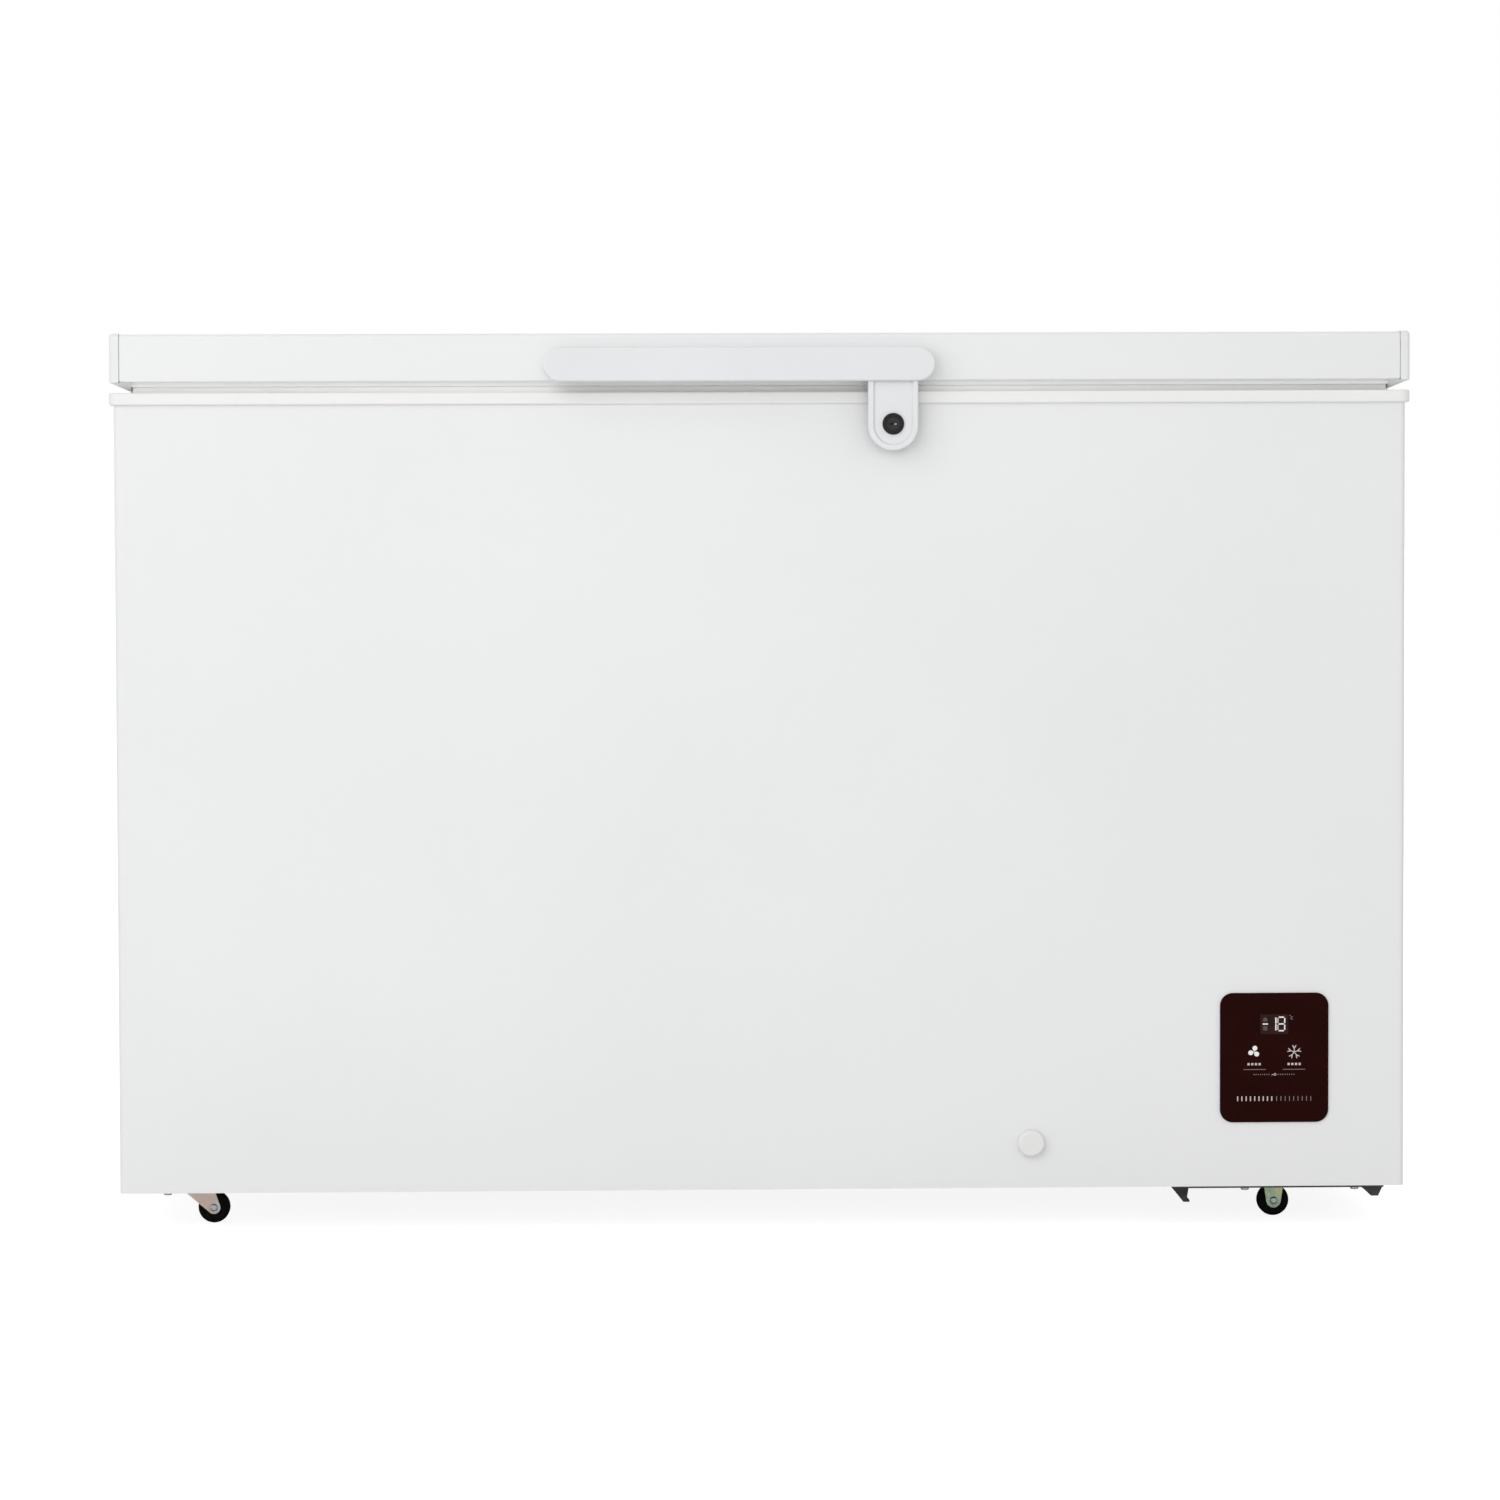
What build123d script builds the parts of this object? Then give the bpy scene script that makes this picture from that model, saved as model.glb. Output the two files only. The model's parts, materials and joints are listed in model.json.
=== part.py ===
"""Chest freezer: foam-filled steel cabinet, hinged lid, key lock, touch panel, drain, cooling circuit and casters.

Millimetres. +X is the viewer's right, +Y the back and +Z up. The origin is on the floor under the middle.
"""

import os
from math import cos, radians, sin

from build123d import *

# Cabinet shell, back, base
CABINET_WIDTH = 1245.0
CABINET_DEPTH = 700.0
CABINET_BOTTOM = 39.5
SHELL_HEIGHT = 769.5
SHEET = 1.0
SHELL_CORNER = 5.0
HEM_WIDTH = 14.0
BASE_SHEET = 1.2
SWAGE_COUNT = 3
SWAGE_WIDTH = 12.0
SWAGE_RISE = 1.5
SWAGE_MARGIN = 90.0

# Collar round the opening
COLLAR_OVERHANG = 4.5
COLLAR_DECK = 3.0
COLLAR_SKIRT = 12.0
COLLAR_ROUND = 2.0
LEDGE_WALL = 2.5
LEDGE_WIDTH = 12.0
LEDGE_DROP = 8.0
LEDGE_THICKNESS = 3.0

# Tub and insulation
WALL_FOAM = 65.0
FLOOR_FOAM = 62.0
STEP_FOAM = 45.0
LINER_SHEET = 1.0
TUB_BEND = 30.0
TUB_EDGE = 20.0
TUB_FLANGE = 15.0

# Machine bay
BAY_WIDTH = 233.0
BAY_HEIGHT = 262.0
WINDOW_MARGIN = 36.0
GRILLE_LAP = 10.0
GRILLE_SHEET = 2.5
LOUVRE_PITCH = 14.0
LOUVRE_SLOT = 5.0
LOUVRE_HOOD = 4.0
GLAND_RADIUS = 8.0
GLAND_FLANGE = 12.0

# Compressor plate and its rails
PLATE_SHEET = 2.0
PLATE_FROM_BAY = 10.0
PLATE_FROM_SIDE = 19.0
PLATE_SETBACK = 3.0
RAIL_SHEET = 1.8
LEFT_RAIL_TOP = 18.0
LEFT_RAIL_TOE = 6.0
LEFT_RAIL_LEAN = 12.5
LEFT_RAIL_DROP = 16.8
LEFT_RAIL_SETBACK = 30.0
RIGHT_RAIL_TOP = 22.5
RIGHT_RAIL_TOE = 7.0
RIGHT_RAIL_LEAN = 4.3
RIGHT_RAIL_DROP = 9.4
RIGHT_RAIL_SETBACK = 10.0

# Compressor and refrigerant lines
COMPRESSOR_FROM_BACK = 200.0
COMPRESSOR_HALF_X = 72.0
COMPRESSOR_HALF_Y = 92.0
COMPRESSOR_HEIGHT = 168.0
WELD_RIM = 3.0
WELD_HEIGHT = 10.0
FOOT_SPAN_X = 100.0
FOOT_SPAN_Y = 170.0
FOOT_WIDTH = 34.0
FOOT_SHEET = 3.0
GROMMET_HEIGHT = 14.0
GROMMET_RADIUS = 12.0
STUD_RADIUS = 4.0
STUD_FIT = 0.3
COVER_WIDTH = 60.0
COVER_HEIGHT = 70.0
COVER_DEPTH = 34.0
CONDENSER_RADIUS = 2.5
CONDENSER_DEPTH = 9.0
CONDENSER_BEND = 30.0
EVAPORATOR_RADIUS = 4.0
EVAPORATOR_GAP = 1.5
EVAPORATOR_LOOPS = 5
TUBE_GROOVE = 0.5
LINE_RADIUS = 3.0
LINE_BEND = 22.0
CAPILLARY_RADIUS = 1.2
DRIER_RADIUS = 10.0
DRIER_LENGTH = 110.0

# Drain
DRAIN_FROM_STEP = 84.3
DRAIN_RISE = 44.0
DRAIN_BORE = 7.5
DRAIN_WALL = 2.5
DRAIN_BEND = 14.0
CAP_RADIUS = 13.0
CAP_HEAD = 9.0
CAP_STEM = 18.0
CAP_ROUND = 2.5
PLUG_GAP = 0.3
STOPPER_RADIUS = 17.0
STOPPER_HEAD = 6.0
STOPPER_STEM = 8.0

# Control panel
PANEL_FROM_SIDE = 126.5
PANEL_RISE = 125.5
PANEL_WIDTH = 105.5
PANEL_HEIGHT = 126.0
PANEL_CORNER = 12.5
PANEL_THICKNESS = 2.0
PANEL_ROUND = 0.6
PANEL_BORDER = 5.0
HOUSING_DEPTH = 30.0
HOUSING_WALL = 2.0
BOARD_SHEET = 1.6
BOARD_DEPTH = 14.0

# Lid
LID_GAP = 10.0
LID_SKIRT = 46.0
LID_OVERHANG = 5.0
LID_SIDE_OVERHANG = 3.5
LID_SHEET = 1.0
LID_EDGE = 4.0
LID_HEM_EDGE = 2.0
LID_HEM = 8.0
END_CAP_WIDTH = 9.8
END_CAP_PROUD = 0.8
END_CAP_WALL = 2.5
END_CAP_ROUND = 3.5
END_CAP_JOINT = 0.9
END_CAP_JOINT_DEPTH = 1.5
BELLY_SLOPE = 20.0
BELLY_CLEARANCE = 1.0
BELLY_STEP_INSET = 10.0
BELLY_STEP_DROP = 4.5
BELLY_STEP_ROUND = 1.2
LINER_RIM = 3.0
LINER_WALL = 2.0
PAN_RISE = 4.0
PAN_LIP = 4.0
PAN_CORNER = 25.0
GASKET_INSET = 22.0
GASKET_WIDTH = 20.0
GASKET_FIT = 0.3
GASKET_BASE = 3.0
GASKET_WAIST = 2.5

# Handle
HANDLE_X = -22.2
HANDLE_LENGTH = 376.0
HANDLE_HEIGHT = 32.9
HANDLE_DEPTH = 28.0
HANDLE_FACE = 3.5
HANDLE_WALL = 3.0
HANDLE_ROUND = 2.0
HANDLE_DROP = 0.5

# Lock
LOCK_FROM_END = 40.3
LOCK_RISE = 1.5
TAB_BELOW_LID = 43.2
TAB_RADIUS = 24.1
TAB_GAP = 0.5
TAB_STANDOFF = 1.0
TAB_RECESS = 2.2
TAB_RECESS_SLANT = 40.0
TAB_BORDER = 4.8
TAB_WALL = 2.5
TAB_FACE = 3.0
TAB_ROUND = 1.5
TAB_LID_LAP = 4.0
TAB_SHOULDER = 8.0
BEZEL_RADIUS = 10.4
BEZEL_RISE = 2.5
BARREL_RADIUS = 8.5
BARREL_LENGTH = 12.5
CYLINDER_RADIUS = 6.2
CYLINDER_FIT = 0.08
CYLINDER_SINK = 0.5
KEY_SLOT_WIDTH = 8.6
KEY_SLOT_HEIGHT = 1.6
KEY_SLOT_DEPTH = 7.0
TAIL_RADIUS = 4.0
CAM_THICKNESS = 3.0
CAM_REACH = 13.0
CAM_TIP = 4.5
CAM_HUB = 6.5
KEEPER_SHEET = 2.0
KEEPER_WIDTH = 10.5
KEEPER_OFFSET = 10.0
KEEPER_GAP = 1.0
KEEPER_HEIGHT = 17.0
KEEPER_SIDE_ROOM = 1.5

# Hinges
HINGE_FROM_SIDE = 202.5
HINGE_DEPTH = 37.0
HINGE_PLATE_WIDTH = 70.0
HINGE_PLATE_HEIGHT = 126.0
HINGE_SHEET = 2.0
HINGE_INNER = 30.0
HINGE_COLLAR_GAP = 4.0
PIVOT_BEHIND = 15.0
PIVOT_BELOW_LID = 2.0
PIVOT_RADIUS = 3.5
PIVOT_FIT = 0.05
PIVOT_HEAD = 5.5
CHEEK_ROUND = 8.5
ARM_WIDTH = 26.0
ARM_SHEET = 2.5
ARM_BOSS = 7.0
ARM_LUG = 5.5
ARM_FOOT = 6.0
ARM_HEAD = 6.0
CRANK_REACH = 16.0
CRANK_ANGLE = 40.0
CRANK_RADIUS = 2.5
SPRING_RADIUS = 6.5
SPRING_WIRE = 1.5
SPRING_PITCH = 5.0
EYE_RADIUS = 5.5
EYE_THICKNESS = 5.0
EYE_FIT = 0.2
EYE_NECK = 12.0
EYE_PLUG = 10.0
ANCHOR_RISE = 12.0

# Screws
SCREW_RADIUS = 2.2
SCREW_HEAD = 4.0
SCREW_HEAD_HEIGHT = 2.2
SCREW_LENGTH = 9.0
CROSS_LENGTH = 4.4
CROSS_WIDTH = 1.0
CROSS_DEPTH = 1.2
HEM_SCREW_FROM_LEFT = 45.5
HEM_SCREW_FROM_BAY = 80.0
HEM_SCREW_FROM_RIGHT = 47.0

# Casters
WHEEL_RADIUS = 15.5
WHEEL_WIDTH = 14.0
WHEEL_ROUND = 3.5
WHEEL_BORE_FIT = 0.08
HUB_INNER = 6.0
HUB_OUTER = 11.0
HUB_SINK = 1.0
AXLE_RADIUS = 3.0
AXLE_HEAD = 3.8
AXLE_HEAD_HEIGHT = 2.2
FORK_SHEET = 1.8
FORK_GAP = 1.4
WHEEL_SIDE_GAP = 1.5
CASTER_SETBACK = 88.0
SWIVEL_FROM_SIDE = 71.5
SWIVEL_TRAIL = 14.0
SWIVEL_REACH = 14.6
SWIVEL_TOE = 6.3
SWIVEL_PLATE_X = 48.0
SWIVEL_PLATE_Y = 40.0
CASTER_SHEET = 2.0
RACE_RADIUS = 12.0
RACE_GAP = 0.3
KINGPIN_RADIUS = 4.0
KINGPIN_HEAD = 6.5
KINGPIN_HEAD_HEIGHT = 0.9
KINGPIN_FIT = 0.05
RIGID_TOP_HALF = 10.2
RIGID_TOE = 7.2
CASTER_SCREW_X = 19.0
CASTER_SCREW_Y = 15.0
CASTER_PLATE_CORNER = 4.0

# Basket
BASKET_END_GAP = 3.0
BASKET_WIDTH = 280.0
BASKET_DROP = 200.0
BASKET_SIDE_GAP = 8.0
BASKET_LEDGE_GAP = 0.3
BAR_RADIUS = 3.0
WIRE_RADIUS = 1.8
WIRES_ACROSS = 7
WIRES_ALONG = 13

# Places worked out from the sizes above
SIDE = CABINET_WIDTH / 2
FRONT_REACH = LID_OVERHANG + HANDLE_DEPTH
FRONT = FRONT_REACH - (CABINET_DEPTH + FRONT_REACH + HINGE_DEPTH) / 2
BACK = FRONT + CABINET_DEPTH
MIDDLE = (FRONT + BACK) / 2
SHELL_TOP = CABINET_BOTTOM + SHELL_HEIGHT
COLLAR_TOP = SHELL_TOP + COLLAR_DECK
COLLAR_LOW = COLLAR_TOP - COLLAR_SKIRT
LEDGE_TOP = COLLAR_TOP - LEDGE_DROP
BASE_LOW = CABINET_BOTTOM + SHEET
BASE_TOP = BASE_LOW + BASE_SHEET
INNER_SIDE = SIDE - SHEET
INNER_FRONT = FRONT + SHEET
INNER_BACK = BACK - SHEET
TUB_SIDE = INNER_SIDE - WALL_FOAM
TUB_FRONT = INNER_FRONT + WALL_FOAM
TUB_BACK = INNER_BACK - WALL_FOAM
TUB_FLOOR = BASE_TOP + FLOOR_FOAM
BAY_LEFT = INNER_SIDE - BAY_WIDTH
BAY_TOP = CABINET_BOTTOM + BAY_HEIGHT
BAY_MIDDLE = (BAY_LEFT + INNER_SIDE) / 2
STEP_X = BAY_LEFT - STEP_FOAM
STEP_Z = BAY_TOP + STEP_FOAM
LID_LOW = COLLAR_TOP + LID_GAP
LID_TOP = LID_LOW + LID_SKIRT
LID_SIDE = SIDE + LID_SIDE_OVERHANG
LID_FRONT = FRONT - LID_OVERHANG
LID_BACK = BACK + LID_OVERHANG
LID_MIDDLE = (LID_FRONT + LID_BACK) / 2
LID_PANEL_SIDE = LID_SIDE - END_CAP_WIDTH
BELLY_LOW = COLLAR_TOP + BELLY_CLEARANCE
BELLY_SIDE = LID_SIDE - BELLY_SLOPE
LINER_TOP = LID_LOW + LINER_RIM
GASKET_TOP = LID_LOW - LINER_RIM / 6
PAN_INSET = GASKET_INSET + GASKET_WIDTH + PAN_LIP
PAN_Z = BELLY_LOW + PAN_RISE
HANDLE_LOW = LID_LOW - HANDLE_DROP
HANDLE_Z = HANDLE_LOW + HANDLE_HEIGHT / 2
HANDLE_INSIDE = LID_FRONT - HANDLE_DEPTH + HANDLE_FACE
LOCK_X = HANDLE_X + HANDLE_LENGTH / 2 - LOCK_FROM_END
TAB_Z = LID_LOW - TAB_BELOW_LID
LOCK_Z = TAB_Z + LOCK_RISE
TAB_FRONT = HANDLE_INSIDE + TAB_GAP
TAB_BACK = LID_FRONT - TAB_STANDOFF
TAB_TOP = HANDLE_LOW + HANDLE_HEIGHT - HANDLE_WALL - TAB_GAP
LOCK_FACE = TAB_FRONT + TAB_RECESS
BARREL_END = LOCK_FACE + BARREL_LENGTH
CAM_FRONT = BARREL_END + TAB_GAP
CAM_BACK = CAM_FRONT + CAM_THICKNESS
KEEPER_RIGHT = LOCK_X - KEEPER_OFFSET
KEEPER_LEFT = KEEPER_RIGHT - KEEPER_WIDTH
KEEPER_LIP_LOW = LOCK_Z + CAM_TIP + KEEPER_GAP
PIVOT_Y = BACK + PIVOT_BEHIND
PIVOT_Z = LID_LOW - PIVOT_BELOW_LID
CRANK_Y = PIVOT_Y + CRANK_REACH * cos(radians(CRANK_ANGLE))
CRANK_Z = PIVOT_Z + CRANK_REACH * sin(radians(CRANK_ANGLE))
HINGE_PLATE_TOP = COLLAR_LOW - HINGE_COLLAR_GAP
HINGE_PLATE_LOW = HINGE_PLATE_TOP - HINGE_PLATE_HEIGHT
ANCHOR_Z = HINGE_PLATE_LOW + ANCHOR_RISE
CHEEK_INNER = HINGE_INNER / 2
CHEEK_OUTER = CHEEK_INNER + HINGE_SHEET
PLATE_LEFT = BAY_LEFT + PLATE_FROM_BAY
PLATE_RIGHT = SIDE - PLATE_FROM_SIDE
PLATE_TOP = CABINET_BOTTOM
PLATE_LOW = PLATE_TOP - PLATE_SHEET
COMPRESSOR_X = BAY_MIDDLE
COMPRESSOR_Y = BACK - COMPRESSOR_FROM_BACK
COMPRESSOR_FEET = PLATE_TOP + GROMMET_HEIGHT
FOOT_PLACES = [(COMPRESSOR_X + sx * FOOT_SPAN_X / 2, COMPRESSOR_Y + sy * FOOT_SPAN_Y / 2)
               for sx in (-1, 1) for sy in (-1, 1)]
DRAIN_X = STEP_X - DRAIN_FROM_STEP
DRAIN_Z = CABINET_BOTTOM + DRAIN_RISE
DRAIN_TUBE_RADIUS = DRAIN_BORE + DRAIN_WALL
DRAIN_Y = TUB_FRONT + TUB_EDGE + STOPPER_RADIUS + CAP_ROUND
PANEL_X = SIDE - PANEL_FROM_SIDE
PANEL_Z = CABINET_BOTTOM + PANEL_RISE
SWIVEL_X = -SIDE + SWIVEL_FROM_SIDE
RIGID_X = BAY_MIDDLE
AXLE_Z = WHEEL_RADIUS
FORK_INNER = WHEEL_WIDTH / 2 + WHEEL_SIDE_GAP
FORK_OUTER = FORK_INNER + FORK_SHEET
SWIVEL_PLATE_LOW = BASE_LOW - CASTER_SHEET
SWIVEL_FORK_LOW = 2 * WHEEL_RADIUS + FORK_GAP
SWIVEL_FORK_TOP = SWIVEL_FORK_LOW + FORK_SHEET
RIGID_PLATE_LOW = PLATE_LOW - CASTER_SHEET
CASTER_FRONT = FRONT + CASTER_SETBACK
CASTER_REAR = BACK - CASTER_SETBACK
CASTER_ROWS = {"front": CASTER_FRONT, "rear": CASTER_REAR}
LEDGE_SIDE = TUB_SIDE - LINER_SHEET - LEDGE_WALL
LEDGE_FRONT = TUB_FRONT + LINER_SHEET + LEDGE_WALL
LEDGE_BACK = TUB_BACK - LINER_SHEET - LEDGE_WALL
BASKET_TOP = LEDGE_TOP + BASKET_LEDGE_GAP + BAR_RADIUS
BASKET_FLOOR = BASKET_TOP - BASKET_DROP
BASKET_RIGHT = LEDGE_SIDE - LEDGE_WIDTH - BASKET_END_GAP - BAR_RADIUS
BASKET_LEFT = BASKET_RIGHT - BASKET_WIDTH
BASKET_FRONT = LEDGE_FRONT + LEDGE_WIDTH + BASKET_SIDE_GAP
BASKET_BACK = LEDGE_BACK - LEDGE_WIDTH - BASKET_SIDE_GAP
WINDOW_X = (BAY_LEFT + WINDOW_MARGIN, INNER_SIDE - WINDOW_MARGIN / 2)
WINDOW_Z = (BASE_TOP + WINDOW_MARGIN / 2, BAY_TOP - WINDOW_MARGIN / 2)
GLAND_PLACE = (BAY_LEFT + WINDOW_MARGIN / 3, BASE_TOP + WINDOW_MARGIN)
HINGE_CENTRES = (HINGE_FROM_SIDE - SIDE, SIDE - HINGE_FROM_SIDE)
BACKWARD = (0, 1, 0)
DOWNWARD = (0, 0, -1)

FRONT_PLANE = Plane.XZ.offset(-FRONT)
BACK_PLANE = Plane(origin=(0, BACK, 0), x_dir=(-1, 0, 0), z_dir=(0, 1, 0))


def block(x, y, z, mode=Mode.ADD):
    """Box between two limits on each axis."""
    with Locations([((x[0] + x[1]) / 2, (y[0] + y[1]) / 2, (z[0] + z[1]) / 2)]):
        Box(x[1] - x[0], y[1] - y[0], z[1] - z[0], mode=mode)


def plan_block(x, y, z, radius, mode=Mode.ADD):
    """Box with its upright edges rounded."""
    with BuildSketch(Plane.XY.offset(z[0])) as plan:
        with Locations([((x[0] + x[1]) / 2, (y[0] + y[1]) / 2)]):
            RectangleRounded(x[1] - x[0], y[1] - y[0], radius)
    extrude(plan.sketch, amount=z[1] - z[0], mode=mode)


def plan_ring(x, y, z, width, radius, inner_radius, mode=Mode.ADD):
    """Flat rectangular ring with rounded corners."""
    with BuildSketch(Plane.XY.offset(z[0])) as plan:
        with Locations([((x[0] + x[1]) / 2, (y[0] + y[1]) / 2)]):
            RectangleRounded(x[1] - x[0], y[1] - y[0], radius)
            RectangleRounded(x[1] - x[0] - 2 * width, y[1] - y[0] - 2 * width, inner_radius, mode=Mode.SUBTRACT)
    extrude(plan.sketch, amount=z[1] - z[0], mode=mode)


def rod(start, end, radius, mode=Mode.ADD):
    """Round bar between two points."""
    along = Vector(*end) - Vector(*start)
    with BuildSketch(Plane(origin=start, z_dir=along)) as section:
        Circle(radius)
    extrude(section.sketch, amount=along.length, mode=mode)


def pipe(points, bend, radius):
    """Round bar swept along a route with bends."""
    with BuildPart() as tube:
        with BuildLine() as route:
            FilletPolyline(*points, radius=bend)
        with BuildSketch(Plane(origin=route.line @ 0, z_dir=route.line % 0)) as section:
            Circle(radius)
        sweep(sections=section.sketch, path=route.line)
    return tube.part


def hull_sketch(discs):
    """Outline stretched round discs given as x, y and radius."""
    with BuildSketch() as outline:
        for x, y, radius in discs:
            with Locations((x, y)):
                Circle(radius)
        make_hull(outline.edges())
    return outline.sketch


def polygon(plane, points, amount, mode=Mode.ADD):
    """Flat outline given by its corners, pushed out of a plane."""
    with BuildSketch(plane) as outline:
        with BuildLine():
            Polyline(*points, close=True)
        make_face()
    extrude(outline.sketch, amount=amount, mode=mode)


def screw(seat, direction):
    """Pan-head screw with a cross recess, its head standing on a seat and its shank behind."""
    face = Plane(origin=seat, z_dir=direction)
    with BuildPart(face) as piece:
        with BuildSketch(face):
            Circle(SCREW_HEAD)
        extrude(amount=SCREW_HEAD_HEIGHT)
        fillet(piece.faces().sort_by(Axis(seat, direction))[-1].edges(), SCREW_HEAD_HEIGHT / 2)
        with BuildSketch(face.offset(SCREW_HEAD_HEIGHT)):
            Rectangle(CROSS_LENGTH, CROSS_WIDTH)
            Rectangle(CROSS_WIDTH, CROSS_LENGTH)
        extrude(amount=-CROSS_DEPTH, mode=Mode.SUBTRACT)
        with BuildSketch(face):
            Circle(SCREW_RADIUS)
        extrude(amount=-SCREW_LENGTH)
    return piece.part


def group(pieces):
    """One part that holds several separate solids."""
    return Part(children=pieces)


def save(piece, name):
    """Label a finished piece and write its file."""
    piece.label = name
    export_step(piece, f"parts/{name}.step")


def cabinet_plan(inset, rear, height):
    """Cabinet outline from above, its front corners rounded, at a height."""
    with BuildSketch(Plane.XY.offset(height)) as outline:
        with Locations((0, (FRONT + inset + rear) / 2)):
            Rectangle(CABINET_WIDTH - 2 * inset, rear - FRONT - inset)
        fillet(outline.vertices().group_by(Axis.Y)[0], SHELL_CORNER - inset)
    return outline.sketch


def tub_form(inset):
    """Volume of the stepped tub, drawn in from the liner's outer face by an inset."""
    left, right, step = -TUB_SIDE + inset, TUB_SIDE - inset, STEP_X - inset
    floor, shelf, top = TUB_FLOOR + inset, STEP_Z + inset, SHELL_TOP + inset
    corners = [(left, floor), (step, floor), (step, shelf), (right, shelf), (right, top), (left, top)]
    bends = [TUB_BEND - inset, TUB_BEND - inset, TUB_BEND + inset, TUB_BEND - inset, 0, 0]
    with BuildPart() as form:
        with BuildSketch(Plane.XZ.offset(-TUB_FRONT - inset)) as profile:
            with BuildLine():
                FilletPolyline(*corners, radius=bends, close=True)
            make_face()
        extrude(profile.sketch, amount=TUB_FRONT - TUB_BACK + 2 * inset)
        front_edges = form.faces().sort_by(Axis.Y)[0].edges().sort_by(Axis.Z)[:-1]
        back_edges = form.faces().sort_by(Axis.Y)[-1].edges().sort_by(Axis.Z)[:-1]
        fillet(front_edges + back_edges, TUB_EDGE - inset)
    return form.part


def lid_outline(inset):
    """Lid section across the depth, with rounded top and hem edges."""
    with BuildSketch() as outline:
        with Locations((LID_MIDDLE, (LID_LOW + LID_TOP) / 2)):
            Rectangle(LID_BACK - LID_FRONT - 2 * inset, LID_SKIRT - 2 * inset)
        fillet(outline.vertices().group_by(Axis.Y)[-1], LID_EDGE - inset)
        fillet(outline.vertices().group_by(Axis.Y)[0], LID_HEM_EDGE - inset)
    return outline.sketch


def belly_slice(x):
    """Part of the lid's sloping underside between two limits along the width."""
    with BuildPart() as belly:
        with BuildSketch(Plane.XY.offset(BELLY_LOW)) as lower:
            with Locations((0, LID_MIDDLE)):
                Rectangle(2 * BELLY_SIDE, LID_BACK - LID_FRONT - 2 * BELLY_SLOPE)
        with BuildSketch(Plane.XY.offset(LID_LOW)) as upper:
            with Locations((0, LID_MIDDLE)):
                Rectangle(2 * LID_SIDE, LID_BACK - LID_FRONT)
        loft([lower.sketch, upper.sketch], ruled=True)
        block(x, (LID_FRONT, LID_BACK), (BELLY_LOW, LID_LOW), Mode.INTERSECT)
    return belly.part


def lid_inset(inset):
    """Width and depth limits drawn in from the lid's edge."""
    return (-LID_SIDE + inset, LID_SIDE - inset), (LID_FRONT + inset, LID_BACK - inset)


def tab_outline(inset):
    """Lock tab seen from the front, round at the bottom."""
    with BuildSketch() as outline:
        with Locations((LOCK_X, TAB_Z)):
            Circle(TAB_RADIUS - inset)
        with Locations((LOCK_X, (TAB_Z + TAB_TOP - inset) / 2)):
            Rectangle(2 * (TAB_RADIUS - inset), TAB_TOP - inset - TAB_Z)
        fillet(outline.vertices().group_by(Axis.Y)[-1], TAB_SHOULDER - inset)
    return outline.sketch


def front_plane(y):
    """Plane that faces the viewer at a depth."""
    return Plane.XZ.offset(-y)


def screw_bores(seats, direction):
    """Holes that the shanks of a set of screws fill."""
    for seat in seats:
        tip = Vector(*seat) - Vector(*direction) * SCREW_LENGTH
        rod(seat, tip, SCREW_RADIUS, Mode.SUBTRACT)


os.makedirs("parts", exist_ok=True)

# Places of the screws
grille_x = (WINDOW_X[0] - GRILLE_LAP, WINDOW_X[1] + GRILLE_LAP)
grille_z = (WINDOW_Z[0] - GRILLE_LAP, WINDOW_Z[1] + GRILLE_LAP)
arm_low, arm_top = LID_LOW + ARM_FOOT, LID_TOP - ARM_HEAD
arm_back = LID_BACK + ARM_SHEET
cabinet_seats = []
lid_seats = []
for hinge_x in HINGE_CENTRES:
    for screw_x in (hinge_x - CHEEK_OUTER - SCREW_HEAD * 2, hinge_x + CHEEK_OUTER + SCREW_HEAD * 2):
        for screw_z in (HINGE_PLATE_LOW + SCREW_HEAD * 3, HINGE_PLATE_TOP - SCREW_HEAD * 3):
            cabinet_seats.append((screw_x, BACK + HINGE_SHEET, screw_z))
    for screw_z in (arm_low + ARM_SHEET * 4, arm_top - SCREW_HEAD * 2):
        lid_seats.append((hinge_x, arm_back, screw_z))
for screw_x in (grille_x[0] + GRILLE_LAP, grille_x[1] - GRILLE_LAP):
    for screw_z in (grille_z[0] + GRILLE_LAP / 2, grille_z[1] - GRILLE_LAP / 2):
        cabinet_seats.append((screw_x, BACK + GRILLE_SHEET, screw_z))
hem_y = FRONT + HEM_WIDTH / 2
base_seats = [
    (-SIDE + HEM_SCREW_FROM_LEFT, hem_y, CABINET_BOTTOM),
    (BAY_LEFT + HEM_SCREW_FROM_BAY, hem_y, PLATE_LOW),
    (SIDE - HEM_SCREW_FROM_RIGHT, hem_y, PLATE_LOW),
]
for row_y in CASTER_ROWS.values():
    for across in (-CASTER_SCREW_X, CASTER_SCREW_X):
        for along in (-CASTER_SCREW_Y, CASTER_SCREW_Y):
            base_seats.append((SWIVEL_X + across, row_y + along, SWIVEL_PLATE_LOW))
            base_seats.append((RIGID_X + across, row_y + along, RIGID_PLATE_LOW))

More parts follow.
